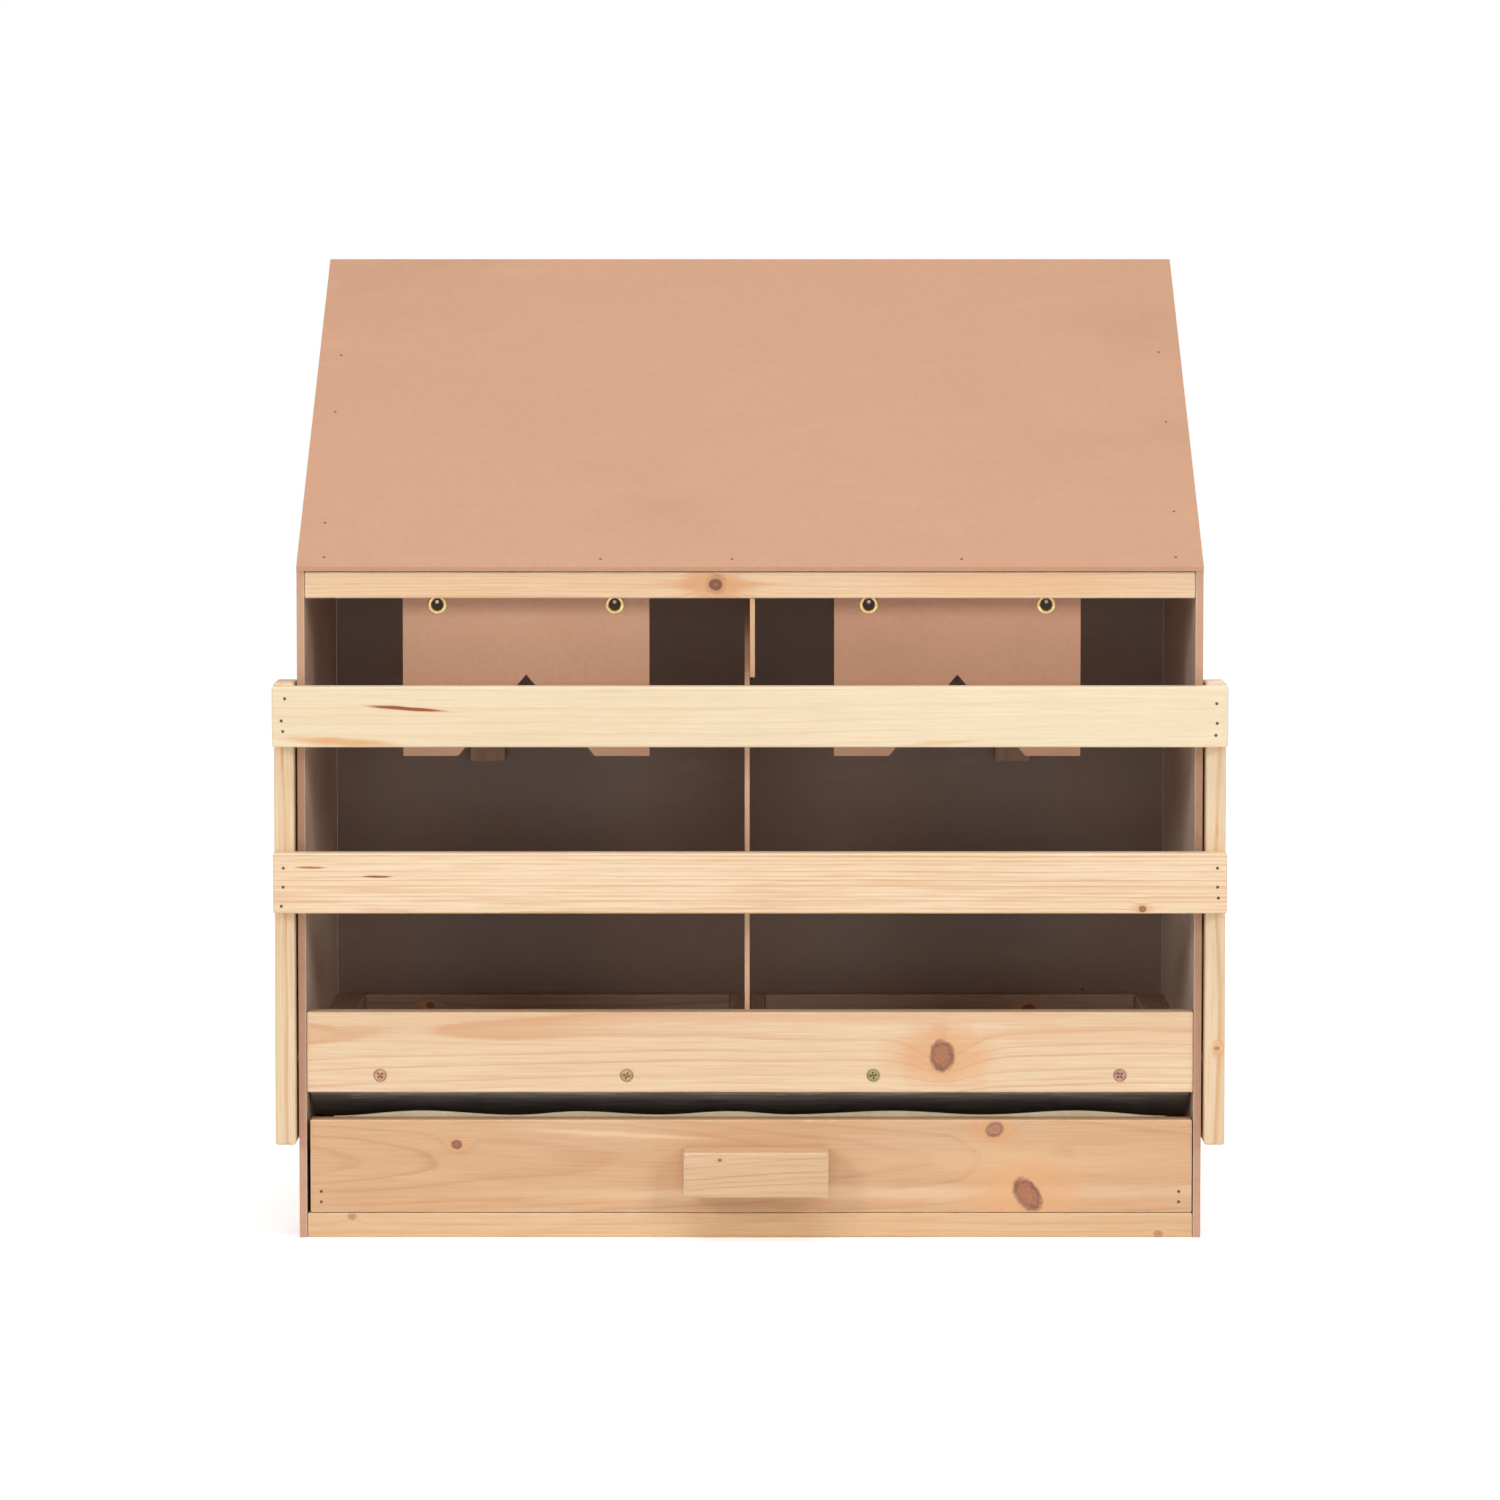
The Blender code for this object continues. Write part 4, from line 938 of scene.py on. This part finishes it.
def liner_tray():
    """Moulded tray: wavy front wall that curves down into a ribbed floor."""
    low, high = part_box("drawer_liner")
    bm = bmesh.new()
    wall_y = low.y + 0.0016
    section = [(wall_y, -1.0)]
    section += [(wall_y, -1.0 + step / 10) for step in range(1, 10)]
    floor_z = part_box("drawer_bottom")[1].z + 0.0048
    for step in range(7):
        angle = math.pi / 2 * step / 6
        section.append((wall_y + 0.008 * (1 - math.cos(angle)), floor_z + 0.008 * (1 - math.sin(angle))))
    depth = high.y - 0.0016 - (wall_y + 0.008)
    section += [(wall_y + 0.008 + depth * step / 84, floor_z) for step in range(1, 85)]
    half = high.x - 0.0004
    bmesh.ops.create_grid(bm, x_segments=180, y_segments=len(section) - 1, size=1.0)
    for vert in bm.verts:
        x = vert.co.x * half
        y, z = section[round((vert.co.y + 1) / 2 * (len(section) - 1))]
        if z < 0:
            top = wave_top(x)
            height = top + (floor_z + 0.008 - top) * (z + 1.0)
        else:
            inside = min(1.0, max(0.0, (y - wall_y - 0.012) / 0.01))
            ribs = math.sin(x / 0.024 * math.pi) * math.sin((y + 0.02) / 0.024 * math.pi)
            height = z + inside * 0.0013 * ribs
        vert.co = Vector((x, y, height))
    made = finished("drawer_liner_tray", bm, finishes["drawer_liner"], "drawer", 80)
    give_wall(made, 0.0024, 0.0005)
    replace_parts(made, "drawer_liner")


liner_tray()

# ------------------------------------------------------------------ studio
def studio_floor():
    """Plain pale floor that reaches far past the camera's view."""
    bm = bmesh.new()
    bmesh.ops.create_circle(bm, cap_ends=True, segments=96, radius=30)
    mesh = bpy.data.meshes.new("studio_floor")
    bm.to_mesh(mesh)
    bm.free()
    floor = bpy.data.objects.new("studio_floor", mesh)
    bpy.context.scene.collection.objects.link(floor)
    material, t, shader = new_material("studio_white")
    shader.inputs["Base Color"].default_value = (0.90, 0.90, 0.90, 1)
    shader.inputs["Roughness"].default_value = 0.9
    shader.inputs["Emission Color"].default_value = (1, 1, 1, 1)
    distance = t.vector_math("LENGTH", t.node("ShaderNodeTexCoord").outputs["Object"])
    glow = t.remap(distance, 0.6, 3.5, 0.48, 0.78, smooth=True)
    seen = t.node("ShaderNodeLightPath").outputs["Is Camera Ray"]
    t.put(t.math("MULTIPLY", seen, glow), shader.inputs["Emission Strength"])
    mesh.materials.append(material)


studio_floor()


def soft_light(name, place, target, size, watts, colour=(1, 1, 1)):
    data = bpy.data.lights.new(name, "AREA")
    data.shape = "RECTANGLE"
    data.size, data.size_y = size
    data.energy = watts
    data.color = colour
    lamp = bpy.data.objects.new(name, data)
    lamp.location = place
    lamp.rotation_euler = (Vector(target) - Vector(place)).to_track_quat("-Z", "Y").to_euler()
    lamp.visible_camera = False
    bpy.context.scene.collection.objects.link(lamp)


soft_light("left_key", (-2.3, -3.0, 1.6), (0, 0, 0.3), (1.1, 1.1), 38)
soft_light("right_key", (2.3, -3.0, 1.6), (0, 0, 0.3), (1.1, 1.1), 35)
soft_light("top", (0, -0.9, 3.0), (0, 0, 0.4), (2.8, 1.6), 47)
soft_light("low_fill", (0, -5.2, 0.45), (0, 0, 0.2), (2.4, 0.7), 22)
soft_light("rear", (0.6, 3.6, 1.9), (0, 0.2, 0.3), (2.4, 1.6), 55)
world = bpy.data.worlds.new("studio_air")
world.use_nodes = True
air = Tree(world.node_tree)
background = world.node_tree.nodes["Background"]
background.inputs["Color"].default_value = (1, 1, 1, 1)
seen_directly = air.node("ShaderNodeLightPath").outputs["Is Camera Ray"]
air.put(air.math("ADD", air.math("MULTIPLY", seen_directly, 0.76), 0.24), background.inputs["Strength"])
bpy.context.scene.world = world
bpy.context.scene.view_settings.view_transform = "Standard"

camera = bpy.data.cameras.new("camera")
camera.sensor_width = 36
camera.lens = 157.49
camera.clip_start, camera.clip_end = 0.1, 60
camera_object = bpy.data.objects.new("camera", camera)
camera_object.location = (0.0, -4.506, 0.6515)
camera_object.rotation_euler = Euler((math.radians(90 - 4.296), 0, 0))
bpy.context.scene.collection.objects.link(camera_object)
bpy.context.scene.camera = camera_object
